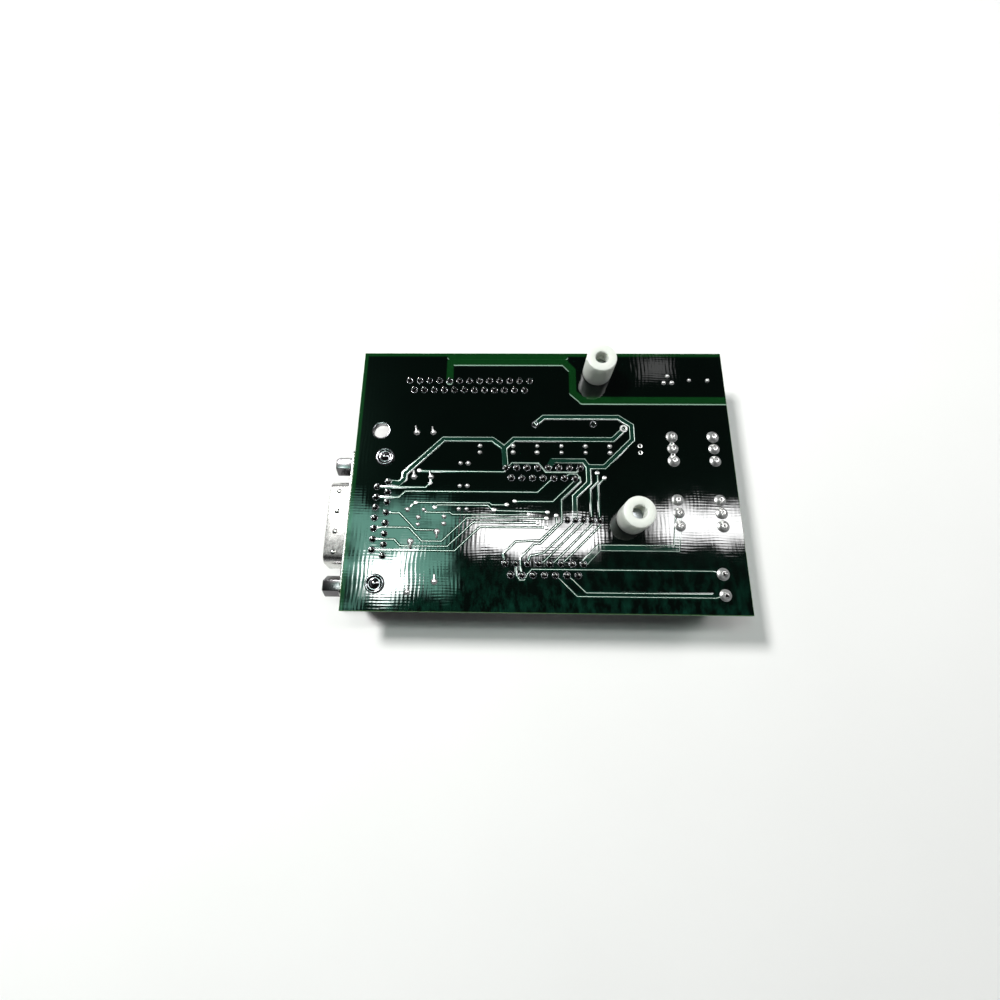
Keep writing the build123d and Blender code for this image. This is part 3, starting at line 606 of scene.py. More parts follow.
def through_board(*nodes: str) -> list[Vector]:
    """Where each wire or pin of some CAD nodes comes out of the solder side.

    Args:
        *nodes: the nodes' names.

    Returns:
        The middle of each end, at the height of the board's top.
    """
    found = []
    for node in nodes:
        made = merged_copy(node)
        for part in grouped(made.verts, lambda corner: [e.other_vert(corner) for e in corner.link_edges]):
            proud = [corner.co for corner in part if corner.co.z > TOP + 0.1 * MM]
            if proud:
                x, y = ((min(c[n] for c in proud) + max(c[n] for c in proud)) / 2 for n in (0, 1))
                found.append(Vector((x, y, TOP)))
        made.free()
    return found


def shade_by_angle(mesh: Mesh, degrees: float) -> None:
    """Keeps edges above an angle sharp on a smooth mesh.

    Args:
        mesh: the mesh.
        degrees: the least angle of a sharp edge.
    """
    made = bmesh.new()
    made.from_mesh(mesh)
    for edge in made.edges:
        if len(edge.link_faces) == 2:
            edge.smooth = edge.calc_face_angle() < math.radians(degrees)
    made.to_mesh(mesh)
    made.free()


@dataclass(frozen=True)
class Turning:
    """A turned form: its outline is swept round an axis.

    The outline is a list of radius and height in millimetres, with a material number where it
    isn't 0, from the axis at one end to the axis at the other or back to its own start.
    """

    outline: Outline
    sides: int = 32
    sharp_angle: float = 40.0

    def mesh(self, name: str, foot: Vector = Vector(), axis: Vector = Vector((0, 0, 1))) -> Mesh:
        """Sweeps the outline.

        Args:
            name: the mesh's name.
            foot: the point at height zero, in metres.
            axis: the direction of the height.

        Returns:
            The closed mesh.
        """
        turn = Vector((0, 0, 1)).rotation_difference(axis.normalized()).to_matrix()
        made = bmesh.new()
        rings = []
        for radius, height, *_ in self.outline:
            turns = [2 * math.pi * n / self.sides for n in range(self.sides if radius > 0 else 1)]
            rings.append([made.verts.new(foot + turn @ (Vector((
                radius * math.cos(a), radius * math.sin(a), height)) * MM)) for a in turns])
        for low, high, (_, _, *number) in zip(rings, rings[1:], self.outline):
            for n in range(self.sides):
                corners = [low[n % len(low)], low[(n + 1) % len(low)], high[(n + 1) % len(high)],
                           high[n % len(high)]]
                made.faces.new(list(dict.fromkeys(corners))).material_index = number[0] if number else 0
        bmesh.ops.remove_doubles(made, verts=made.verts, dist=1e-7)
        bmesh.ops.dissolve_degenerate(made, edges=made.edges, dist=1e-8)
        bmesh.ops.recalc_face_normals(made, faces=made.faces)
        mesh = closed_mesh(name, made)
        shade_by_angle(mesh, self.sharp_angle)
        return mesh


class Shaper:
    """A Geometry Nodes tree that makes a piece from named inputs and ends in plain, dressed faces."""

    title: str
    inputs: dict[str, str]

    @classmethod
    def shape(cls, tree: Tree, given: Any) -> Node:
        """Adds the nodes between the tree's inputs and its last steps.

        Args:
            tree: the tree.
            given: the sockets of its inputs.

        Returns:
            The node that gives the shape.
        """
        raise NotImplementedError

    @classmethod
    @cache
    def tree(cls) -> Tree:
        """Builds the tree, once."""
        made = bpy.data.node_groups.new(cls.title, "GeometryNodeTree")
        made.is_modifier = True
        for name, kind in cls.inputs.items():
            made.interface.new_socket(name, in_out="INPUT", socket_type=f"NodeSocket{kind}")
        made.interface.new_socket("Geometry", in_out="OUTPUT", socket_type="NodeSocketGeometry")
        given = add(made, "NodeGroupInput").outputs
        real = add(made, "GeometryNodeRealizeInstances", {"Geometry": cls.shape(made, given)})
        dressed = add(made, "GeometryNodeSetMaterial", {"Geometry": real, "Material": given["Finish"]})
        add(made, "NodeGroupOutput", {0: dressed})
        return made

    @classmethod
    def run(cls, name: str, slot: Slot, start: Mesh, values: Sockets) -> Piece:
        """Makes a plain piece and ties it to the frame.

        Args:
            name: the piece's name.
            slot: the record's slot.
            start: the mesh that goes into the tree.
            values: the value of each named input.

        Returns:
            The piece.
        """
        piece = link(bpy.data.objects.new(name, start))
        work = piece.modifiers.new(cls.title, "NODES")
        work.node_group = cls.tree()
        for item in work.node_group.interface.items_tree:
            if item.in_out == "INPUT" and item.name in values:
                work[item.identifier] = values[item.name]
        return settle(evaluated_mesh(piece), slot)


class Spread(Shaper):
    """Sets one small form on every place, each turned and sized a little differently."""

    title = "spread_on_places"
    inputs = {"Geometry": "Geometry", "Form": "Object", "Turn": "Float", "Tilt": "Float",
              "Smallest": "Float", "Largest": "Float", "Seed": "Int", "Finish": "Material"}

    @classmethod
    def shape(cls, tree: Tree, given: Any) -> Node:
        """Adds the nodes that turn, lean and size the form on each place."""
        form = add(tree, "GeometryNodeObjectInfo", {"Object": given["Form"]}, transform_space="RELATIVE")
        facing = add(tree, "GeometryNodeInputNamedAttribute", {"Name": "facing"}, data_type="FLOAT")
        spun = add(tree, RANDOM, {2: 0.0, 3: given["Turn"], "Seed": given["Seed"]}, data_type="FLOAT")
        yaw = add(tree, MATH, {0: facing, 1: spun}, operation="ADD")
        lean = add(tree, MATH, {0: given["Tilt"], 1: -1.0}, operation="MULTIPLY")
        tilts = [add(tree, RANDOM, {2: lean, 3: given["Tilt"], "Seed": seed}, data_type="FLOAT")
                 for seed in TILT_SEEDS]
        turn = add(tree, "ShaderNodeCombineXYZ", {0: tilts[0], 1: tilts[1], 2: yaw})
        size = add(tree, RANDOM, {2: given["Smallest"], 3: given["Largest"], "Seed": SIZE_SEED},
                   data_type="FLOAT")
        return add(tree, "GeometryNodeInstanceOnPoints", {
            "Points": given["Geometry"], "Instance": form.outputs["Geometry"], "Rotation": turn,
            "Scale": size})

    @classmethod
    def piece(cls, name: str, slot: Slot, places: list[Vector], form: Mesh, dress: Dress,
              facing: list[float] | None = None, turn: float = 2 * math.pi, tilt: float = 0.0,
              sizes: Point = (1.0, 1.0), seed: int = 1) -> None:
        """Makes one plain mesh with the form on every place.

        Args:
            name: the piece's name.
            slot: the record's slot.
            places: where the form stands, in metres.
            form: the form's mesh, about the origin.
            dress: the finish.
            facing: the direction of each, in radians, or none.
            turn: the largest random turn about the upright.
            tilt: the largest random lean.
            sizes: the smallest and largest size.
            seed: the seed of the random turn.
        """
        points = bpy.data.meshes.new(name)
        points.from_pydata([tuple(p) for p in places], [], [])
        attribute = points.attributes.new("facing", "FLOAT", "POINT")
        attribute.data.foreach_set("value", facing or [0.0] * len(places))
        template = link(bpy.data.objects.new(f"{name}_form", form))
        cls.run(name, slot, points, {
            "Form": template, "Turn": turn, "Tilt": tilt, "Smallest": sizes[0], "Largest": sizes[1],
            "Seed": seed, "Finish": dress.material()})
        bpy.data.objects.remove(template)


class Thread(Shaper):
    """Winds a thread's ridge as a helix."""

    title = "thread_ridge"
    inputs = {"Geometry": "Geometry", "Radius": "Float", "Turns": "Float", "Length": "Float",
              "Ridge": "Float", "Foot": "Vector", "Lay": "Vector", "Finish": "Material"}

    @classmethod
    def shape(cls, tree: Tree, given: Any) -> Node:
        """Adds the nodes that wind the ridge and lay it in its place."""
        helix = add(tree, "GeometryNodeCurveSpiral", {
            "Resolution": 24, "Rotations": given["Turns"], "Start Radius": given["Radius"],
            "End Radius": given["Radius"], "Height": given["Length"]})
        ridge = add(tree, "GeometryNodeCurvePrimitiveCircle", {"Resolution": 6, "Radius": given["Ridge"]})
        wound = add(tree, "GeometryNodeCurveToMesh", {0: helix, "Profile Curve": ridge, "Fill Caps": True})
        return add(tree, "GeometryNodeTransform", {
            "Geometry": wound, "Translation": given["Foot"], "Rotation": given["Lay"]})

    @classmethod
    def piece(cls, name: str, slot: Slot, foot: Vector, lay: Vector, radius: float, pitch: float,
              length: float, ridge: float, dress: Dress) -> None:
        """Makes one thread's ridge as a plain mesh.

        Args:
            name: the piece's name.
            slot: the record's slot.
            foot: where the helix starts, in metres.
            lay: how the helix is turned, in radians about each axis.
            radius: the helix's radius in millimetres.
            pitch: the thread's pitch in millimetres.
            length: the thread's length in millimetres.
            ridge: half the ridge's thickness in millimetres.
            dress: the finish.
        """
        made = cls.run(name, slot, bpy.data.meshes.new(name), {
            "Radius": radius * MM, "Turns": length / pitch, "Length": length * MM, "Ridge": ridge * MM,
            "Foot": tuple(foot), "Lay": tuple(lay), "Finish": dress.material()})
        for face in made.data.polygons:
            face.use_smooth = True


@dataclass
class Board:
    """The laminate with its mask, its routed edge and its plated holes."""

    rim: float = 0.12
    least_rim_angle: float = 60.0
    ring_inner: float = 2.15
    ring_width: float = 0.28
    ring_height: float = 0.05
    hole: Point = (-39.9, 11.85)

    def build(self) -> None:
        """Makes the laminate and the ring round its empty hole."""
        self._laminate()
        self._hole_ring()

    def _laminate(self) -> None:
        """Copies the board's node, breaks its rim and gives each kind of face its finish."""
        made = merged_copy("circuit_board")

        def near_outline(place: Vector, reach: float) -> bool:
            """Whether a place is close to the board's outline."""
            return any(abs(place[n] - end[n]) < reach for n in (0, 1) for end in (BOARD_LOW, BOARD_HIGH))

        rim = [edge for edge in made.edges if all(near_outline(v.co, NEAR) for v in edge.verts)
               and abs(edge.verts[0].co.z - edge.verts[1].co.z) < NEAR
               and edge.calc_face_angle(0) > math.radians(self.least_rim_angle)]
        bmesh.ops.bevel(made, geom=rim, offset=self.rim * MM, segments=2, profile=0.5, affect="EDGES")
        made.normal_update()
        for face in made.faces:
            at_edge = near_outline(face.calc_center_median(), 2 * self.rim * MM)
            # The rounded rims take the pale edge finish: partly bare laminate where the mask stops, partly a
            # painted highlight line.
            face.material_index = 0 if abs(face.normal.z) > 0.9 else 1 if at_edge else 2
        piece = to_object("laminate_with_mask", closed_mesh("laminate", made, smooth=False),
                          [MASK_OVER_PLANES, LAMINATE_EDGE, PLATED_WALL])
        settle(piece, Slot.LAMINATE, "circuit_board")

    def _hole_ring(self) -> None:
        """The thin tinned ring round the empty hole, on both sides of the board."""
        inner, outer = self.ring_inner, self.ring_inner + self.ring_width
        thick = (TOP - BOARD_LOW.z) / MM
        crown = thick + self.ring_height
        outline = ((inner, -0.03), (outer, -0.03), (outer, 0.0), (outer, thick), (outer - 0.05, crown),
                   (inner + 0.08, crown), (inner - 0.02, thick), (inner - 0.02, 0.0), (inner, -0.03))
        foot = Vector((self.hole[0] * MM, self.hole[1] * MM, BOARD_LOW.z))
        mesh = Turning(outline, 48).mesh("hole_ring", foot)
        settle(to_object("empty_hole_ring", mesh, [SOLDER]), Slot.COPPER)


@dataclass
class Tracks:
    """The etched tracks, with the mask flowing down their shoulders.

    The levels are those of the skirt, the shoulder, the crown's edge and the top, as shares of the
    copper's height.
    """

    skirt: float = 0.14
    shoulder: float = 0.05
    crown: float = 0.1
    thin_width: float = 0.6
    longest_mitre: float = 2.0
    levels: tuple[float, float, float, float] = (0.03, 0.31, 0.67, 0.88)

    def build(self) -> None:
        """Opens the tracks' node to its top faces and draws the shoulders out and down."""
        made = merged_copy("solder_side_tracks")
        made.normal_update()
        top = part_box("solder_side_tracks")[1].z
        low = [f for f in made.faces if min(v.co.z for v in f.verts) < top - NEAR]
        bmesh.ops.delete(made, geom=low, context="FACES")
        foot, edge_of_top, edge_of_crown, flat = (TOP + (top - TOP) * level for level in self.levels)
        outward = self._outward(made)
        rings: set[Face] = set()
        crown: set[Face] = set()
        for width in (self.shoulder, self.crown):
            tops = [f for f in made.faces if f not in rings]
            crown = set(bmesh.ops.inset_region(made, faces=tops, thickness=width * MM,
                                               use_even_offset=True, use_boundary=True)["faces"])
            rings |= crown
        inner = {v for f in made.faces if f not in rings for v in f.verts}
        for corner in made.verts:
            corner.co.z = edge_of_top if corner in outward else flat if corner in inner else edge_of_crown
        rim = [edge for edge in made.edges if edge.is_boundary]
        skirt = bmesh.ops.extrude_edge_only(made, edges=rim)["geom"]
        for corner in (v for v in skirt if isinstance(v, Corner)):
            old = next(e.other_vert(corner) for e in corner.link_edges if e.other_vert(corner) in outward)
            move = outward[old] * self.skirt * MM
            corner.co = Vector((old.co.x + move.x, old.co.y + move.y, foot))
        rings |= {f for f in skirt if isinstance(f, Face)}
        bmesh.ops.recalc_face_normals(made, faces=made.faces)
        if sum(f.normal.z * f.calc_area() for f in made.faces) < 0:
            bmesh.ops.reverse_faces(made, faces=made.faces)
        thin = self._thin([f for f in made.faces if f not in rings])
        for face in made.faces:
            on_thin = any(other in thin for edge in face.edges for other in edge.link_faces)
            # The crowns of wide tracks and the whole tops of thin tracks get the pale painted highlight.
            face.material_index = 1 if face in thin or (face in crown and not on_thin) else 0
        for edge in made.edges:
            edge.smooth = len({f in rings for f in edge.link_faces}) < 2
        piece = to_object("masked_copper_tracks", closed_mesh("tracks", made),
                          [MASK_OVER_COPPER, PAINTED_HIGHLIGHT_MASK])
        settle(piece, Slot.COPPER, "solder_side_tracks")

    def _thin(self, tops: list[Face]) -> set[Face]:
        """The tops of thin tracks, which take the painted highlight along their whole width.

        Args:
            tops: the flat top faces of all tracks.

        Returns:
            Those of the thin tracks.
        """
        found: set[Face] = set()
        for group in grouped(tops, lambda face: [f for e in face.edges for f in e.link_faces]):
            part = set(group)
            outline = sum(e.calc_length() for f in group for e in f.edges
                          if sum(other in part for other in e.link_faces) == 1)
            if 2 * sum(f.calc_area() for f in group) / outline < self.thin_width * MM:
                found |= part
        return found

    def _outward(self, made: OpenMesh) -> dict[Corner, Vector]:
        """The direction away from the copper at each corner of its outline.

        Args:
            made: the tracks' top faces.

        Returns:
            For each corner, a level vector whose length keeps the skirt's width even.
        """
        found: dict[Corner, Vector] = {}
        for corner in made.verts:
            sides = []
            for edge in (e for e in corner.link_edges if e.is_boundary):
                first, last = (v.co for v in edge.verts)
                run = (last - first).normalized()
                away = Vector((run.y, -run.x, 0.0))
                inside = edge.link_faces[0].calc_center_median() - (first + last) / 2
                sides.append(-away if away.dot(inside) > 0 else away)
            if len(sides) >= 2:
                total = sides[0] + sides[1]
                found[corner] = sides[0]
                if total.length > 0.2:
                    total.normalize()
                    found[corner] = total * min(self.longest_mitre, 1 / max(0.5, total.dot(sides[0])))
        return found


@dataclass
class SolderWork:
    """Solder joints on every pin and lead, filled and open through-holes, and ring pads."""

    pin_nodes: tuple[str, ...] = (*CONTACT_NODES, "header_pins")
    heavy_nodes: tuple[str, ...] = ("relay_pins", "terminal_pins")
    vias: tuple[Point, ...] = (
        (-28.9, 0.45), (-24.3, -9.55), (-3.8, -7.75), (-5.8, -8.7), (-9.1, -10.15), (4.6, -10.65),
        (-0.1, -11.25), (4.3, -12.25), (2.1, -13.45), (4.3, -14.65), (6.8, -11.45), (17.7, 0.1),
        (19.5, -1.25), (-29.3, -8.35))
    open_vias: tuple[Point, ...] = ((29.3, 7.75), (29.3, 5.85), (37.8, 8.35), (37.8, 5.25))
    ring_pads: tuple[Point, ...] = ((1.6, 13.95), (17.2, 14.05))
    bright_ring_pads: tuple[Point, ...] = ((25.3, 12.75),)
    pin_rim: Outline = ((0.97, 0.0), (0.95, 0.04), (0.89, 0.1), (0.82, 0.12), (0.76, 0.1), (0.7, 0.04),
                        (0.69, 0.0), (0.97, 0.0))
    pin_throat: Outline = ((0.0, 0.0), (0.75, 0.0), (0.7, 0.03), (0.5, 0.04), (0.45, 0.08), (0.42, 0.66),
                           (0.38, 0.72), (0.0, 0.72))
    heavy_joint: Outline = ((0.0, 0.03), (1.55, 0.0), (1.5, 0.08), (1.3, 0.2), (1.0, 0.4), (0.75, 0.7),
                            (0.62, 0.95), (0.0, 1.05))
    lead_dome: Outline = ((0.0, 0.02), (0.62, 0.0), (0.6, 0.12), (0.5, 0.3), (0.36, 0.45), (0.2, 0.52),
                          (0.0, 0.54))
    lump: Outline = ((0.0, 0.02), (0.85, 0.0), (0.8, 0.12), (0.62, 0.34), (0.4, 0.52), (0.0, 0.6))
    bent_end: Outline = ((0.0, 0.0), (0.26, 0.02), (0.27, 1.6), (0.22, 1.7), (0.0, 1.72))
    filled_via: Outline = ((0.0, 0.0), (0.58, 0.0), (0.56, 0.09), (0.45, 0.16), (0.2, 0.2), (0.0, 0.19))
    # Diode leads between these two heights of the board are bent toward its near edge.
    bent_near: Point = (-0.022, -0.012)

    def build(self) -> None:
        """Makes the joints, the domes on cut leads, the clinched leads, the through-holes and the pads."""
        pins = through_board(*self.pin_nodes)
        for name, places, outline, sides, dress, tilt, sizes, seed in (
                ("pin_joints", pins, self.pin_rim, 20, SOLDER, 0.06, (0.94, 1.04), 3),
                ("pin_joint_throats", pins, self.pin_throat, 20, SHADED_SOLDER, 0.06, (0.94, 1.04), 3),
                ("heavy_joints", through_board(*self.heavy_nodes), self.heavy_joint, 24, PALE_SOLDER,
                 0.05, (0.95, 1.05), 5),
                ("lead_domes", through_board("component_leads"), self.lead_dome, 16, PALE_SOLDER, 0.12,
                 (0.85, 1.1), 8)):
            Spread.piece(name, Slot.WIRE, places, Turning(outline, sides).mesh(name), dress, tilt=tilt,
                         sizes=sizes, seed=seed)
        self._clinched_leads()
        self._through_holes()

    def _clinched_leads(self) -> None:
        """A lump of solder with a bent-over wire end on each diode lead."""
        made = bmesh.new()
        take_in(made, Turning(self.lump, 16).mesh("lump"))
        take_in(made, Turning(self.bent_end, 10).mesh("bent_end", Vector((0.1, 0, 0.34)) * MM,
                                                      Vector((1, 0, -0.04))))
        places = through_board("diode_leads")
        low, high = self.bent_near
        facing = [math.radians(270 if low <= p.y < high else 90) for p in places]
        Spread.piece("clinched_leads", Slot.WIRE, places, closed_mesh("clinched", made), PALE_SOLDER,
                     facing=facing, turn=0.3, sizes=(0.9, 1.05), seed=13)

    def _through_holes(self) -> None:
        """Filled through-holes, open ones, and the ring pads of places left empty."""

        def here(places: Iterable[Point]) -> list[Vector]:
            """The places on the board's top, in metres."""
            return [Vector((x * MM, y * MM, TOP)) for x, y in places]

        Spread.piece("filled_through_holes", Slot.COPPER, here(self.vias),
                     Turning(self.filled_via, 14).mesh("via"), PALE_SOLDER, tilt=0.05, sizes=(0.9, 1.1),
                     seed=17)
        for name, places, inner, outer, dress in (
                ("open_through_holes", self.open_vias, 0.28, 0.62, PALE_SOLDER),
                ("ring_pads", self.ring_pads, 0.62, 1.05, SOLDER),
                ("bright_ring_pad", self.bright_ring_pads, 0.55, 1.05, PALE_SOLDER)):
            ring = ((inner, 0.0), (outer, 0.0), (outer - 0.05, 0.08), (inner + 0.1, 0.12), (inner, 0.06),
                    (inner, 0.0))
            Spread.piece(name, Slot.COPPER, here(places), Turning(ring, 20).mesh("ring"), dress,
                         sizes=(0.97, 1.03), seed=19)
            # A nearly black disc in each ring's middle is painted shade down the hole.
            shade_disc = ((0.0, 0.0), (inner + 0.02, 0.0), (inner + 0.02, 0.03), (0.0, 0.02))
            Spread.piece(f"{name}_middle", Slot.LAMINATE, here(places), Turning(shade_disc, 16).mesh("middle"),
                         HOLE_SHADE, seed=20)


@dataclass
class Connectors:
    """The four D-shaped connectors: pressed shells, mouldings and contacts."""

    names: tuple[str, ...] = ("side", "far", "middle", "near")
    tinned_from: float = 1.0
    collar_depth: float = 3.0
    dimple_place: float = 2.6
    dimple_step: float = 5.5
    dimple_radius: float = 0.75
    dimple_height: float = 0.28

    def build(self) -> None:
        """Makes the shells and mouldings of each connector and dresses the contacts."""
        for name in self.names:
            for shell in ("front_shell", "rear_shell"):
                formed(f"{name}_{shell}", TINNED_STEEL, 0.1, Slot.SHELL)
            formed(f"{name}_insulator", BLACK_POLYESTER, 0.05, Slot.MOULDING)
        for node in CONTACT_NODES:
            self._contacts(node)
        self._side_dimples()

    def _contacts(self, node: str) -> None:
        """Contacts of gold-flashed bronze whose tails are tinned where they go through the board."""
        piece = softened(node, GOLD, 0.06)
        piece.data.materials.append(TINNED_WIRE.material())
        tail = BOARD_LOW.z - self.tinned_from * MM
        made = bmesh.new()
        made.from_mesh(piece.data)
        bmesh.ops.bisect_plane(made, geom=[*made.verts, *made.edges, *made.faces], plane_co=(0, 0, tail),
                               plane_no=(0, 0, 1))
        made.to_mesh(piece.data)
        made.free()
        for face in piece.data.polygons:
            face.material_index = 1 if face.center.z > tail else 0
        settle(piece, Slot.CONTACT, node)

    def _side_dimples(self) -> None:
        """The spring dimples pressed out of the side connector's collar, above and below."""
        low, _, middle = box_of("side_front_shell")
        collar = [v.co.z for v in NODES["side_front_shell"].data.vertices
                  if v.co.x < low.x + self.collar_depth * MM]
        tall = self.dimple_height
        bead = ((0.0, tall), (0.3, tall * 0.9), (0.55, tall * 0.5), (self.dimple_radius, -0.02), (0.0, -0.05))
        for name, height, up in (("upper", max(collar), 1.0), ("lower", min(collar), -1.0)):
            places = [Vector((low.x + self.dimple_place * MM, middle.y + step * self.dimple_step * MM, height))
                      for step in (-1.5, -0.5, 0.5, 1.5)]
            mesh = Turning(bead, 16).mesh("dimple", axis=Vector((0, 0, up)))
            Spread.piece(f"side_collar_dimples_{name}", Slot.SHELL, places, mesh, TINNED_STEEL, seed=23)


@dataclass
class Fixings:
    """Brackets, board locks and jackscrews of the side connector."""

    lock_dish: Outline = ((0.0, -0.02), (2.44, 0.0), (2.45, 0.25), (2.36, 0.52), (2.14, 0.66), (1.9, 0.6),
                          (1.62, 0.42), (1.3, 0.4), (0.98, 0.56), (0.66, 0.84), (0.36, 0.97), (0.0, 0.99))
    lock_angle: float = 50.0
    thread_start: float = 0.3
    thread_pitch: float = 0.64
    thread_radius: float = 1.12
    thread_length: float = 3.8
    thread_ridge: float = 0.1

    def build(self) -> None:
        """Makes the fixings at both ends of the side connector."""
        for end in ("far", "near"):
            formed(f"mounting_bracket_{end}", BRACKET_STEEL, 0.1, Slot.BRACKET)
            self._lock(end)
            formed(f"jackscrew_{end}", NICKEL, 0.12, Slot.JACKSCREW)
            low, _, middle = box_of(f"jackscrew_{end}")
            foot = Vector((low.x + self.thread_start * MM, middle.y, middle.z))
            Thread.piece(f"jackscrew_thread_{end}", Slot.JACKSCREW, foot, Vector((0, math.radians(90), 0)),
                         self.thread_radius, self.thread_pitch, self.thread_length, self.thread_ridge,
                         NICKEL)

    def _lock(self, end: str) -> None:
        """A board lock: its soldered, dished head above the CAD rivet's shank and foot."""
        node = f"board_lock_{end}"
        middle = box_of(node)[2]
        made = merged_copy(node)
        above = [v for v in made.verts if v.co.z > TOP + 0.05 * MM]
        bmesh.ops.delete(made, geom=above, context="VERTS")
        take_in(made, Turning(self.lock_dish, 40).mesh("lock_head", Vector((middle.x, middle.y, TOP))))
        mesh = closed_mesh("lock", made)
        shade_by_angle(mesh, self.lock_angle)
        settle(to_object(f"{node}_soldered", mesh, [SOLDER]), Slot.LOCK, node)


@dataclass
class Spacers:
    """The two nylon spacers and the screws that hold them."""

    outer: float = 3.95
    height: float = 8.0
    bore: float = 1.7
    wide_bore: float = 2.0
    wide_depth: float = 4.5
    thread_foot: float = 4.9
    thread_length: float = 2.7
    thread_pitch: float = 0.7
    thread_ridge: float = 0.16

    def build(self) -> None:
        """Turns each spacer with its rounded rims, its bore and its thread."""
        r, h, bore, wide, step = self.outer, self.height, self.bore, self.wide_bore, self.wide_depth
        outline = ((wide, 0.0), (r - 0.4, 0.0), (r - 0.12, 0.1), (r, 0.38), (r, h * 0.33), (r, h * 0.66),
                   (r, h - 0.4), (r - 0.1, h - 0.14), (r - 0.38, h), (bore + 0.35, h),
                   (bore + 0.1, h - 0.1), (bore, h - 0.4), (bore, step), (wide, step), (wide, 0.0))
        for number in (1, 2):
            node = f"nylon_spacer_{number}"
            low, _, middle = box_of(node)
            foot = Vector((middle.x, middle.y, low.z))
            mesh = Turning(outline, 64).mesh(node, foot)
            settle(to_object(f"{node}_turned", mesh, [NYLON]), Slot.NYLON, node)
            Thread.piece(f"{node}_thread", Slot.NYLON, foot + Vector((0, 0, self.thread_foot * MM)),
                         Vector(), bore + 0.02, self.thread_pitch, self.thread_length, self.thread_ridge,
                         NYLON)
            formed(f"spacer_screw_{number}", ZINC, 0.08, Slot.SCREW)


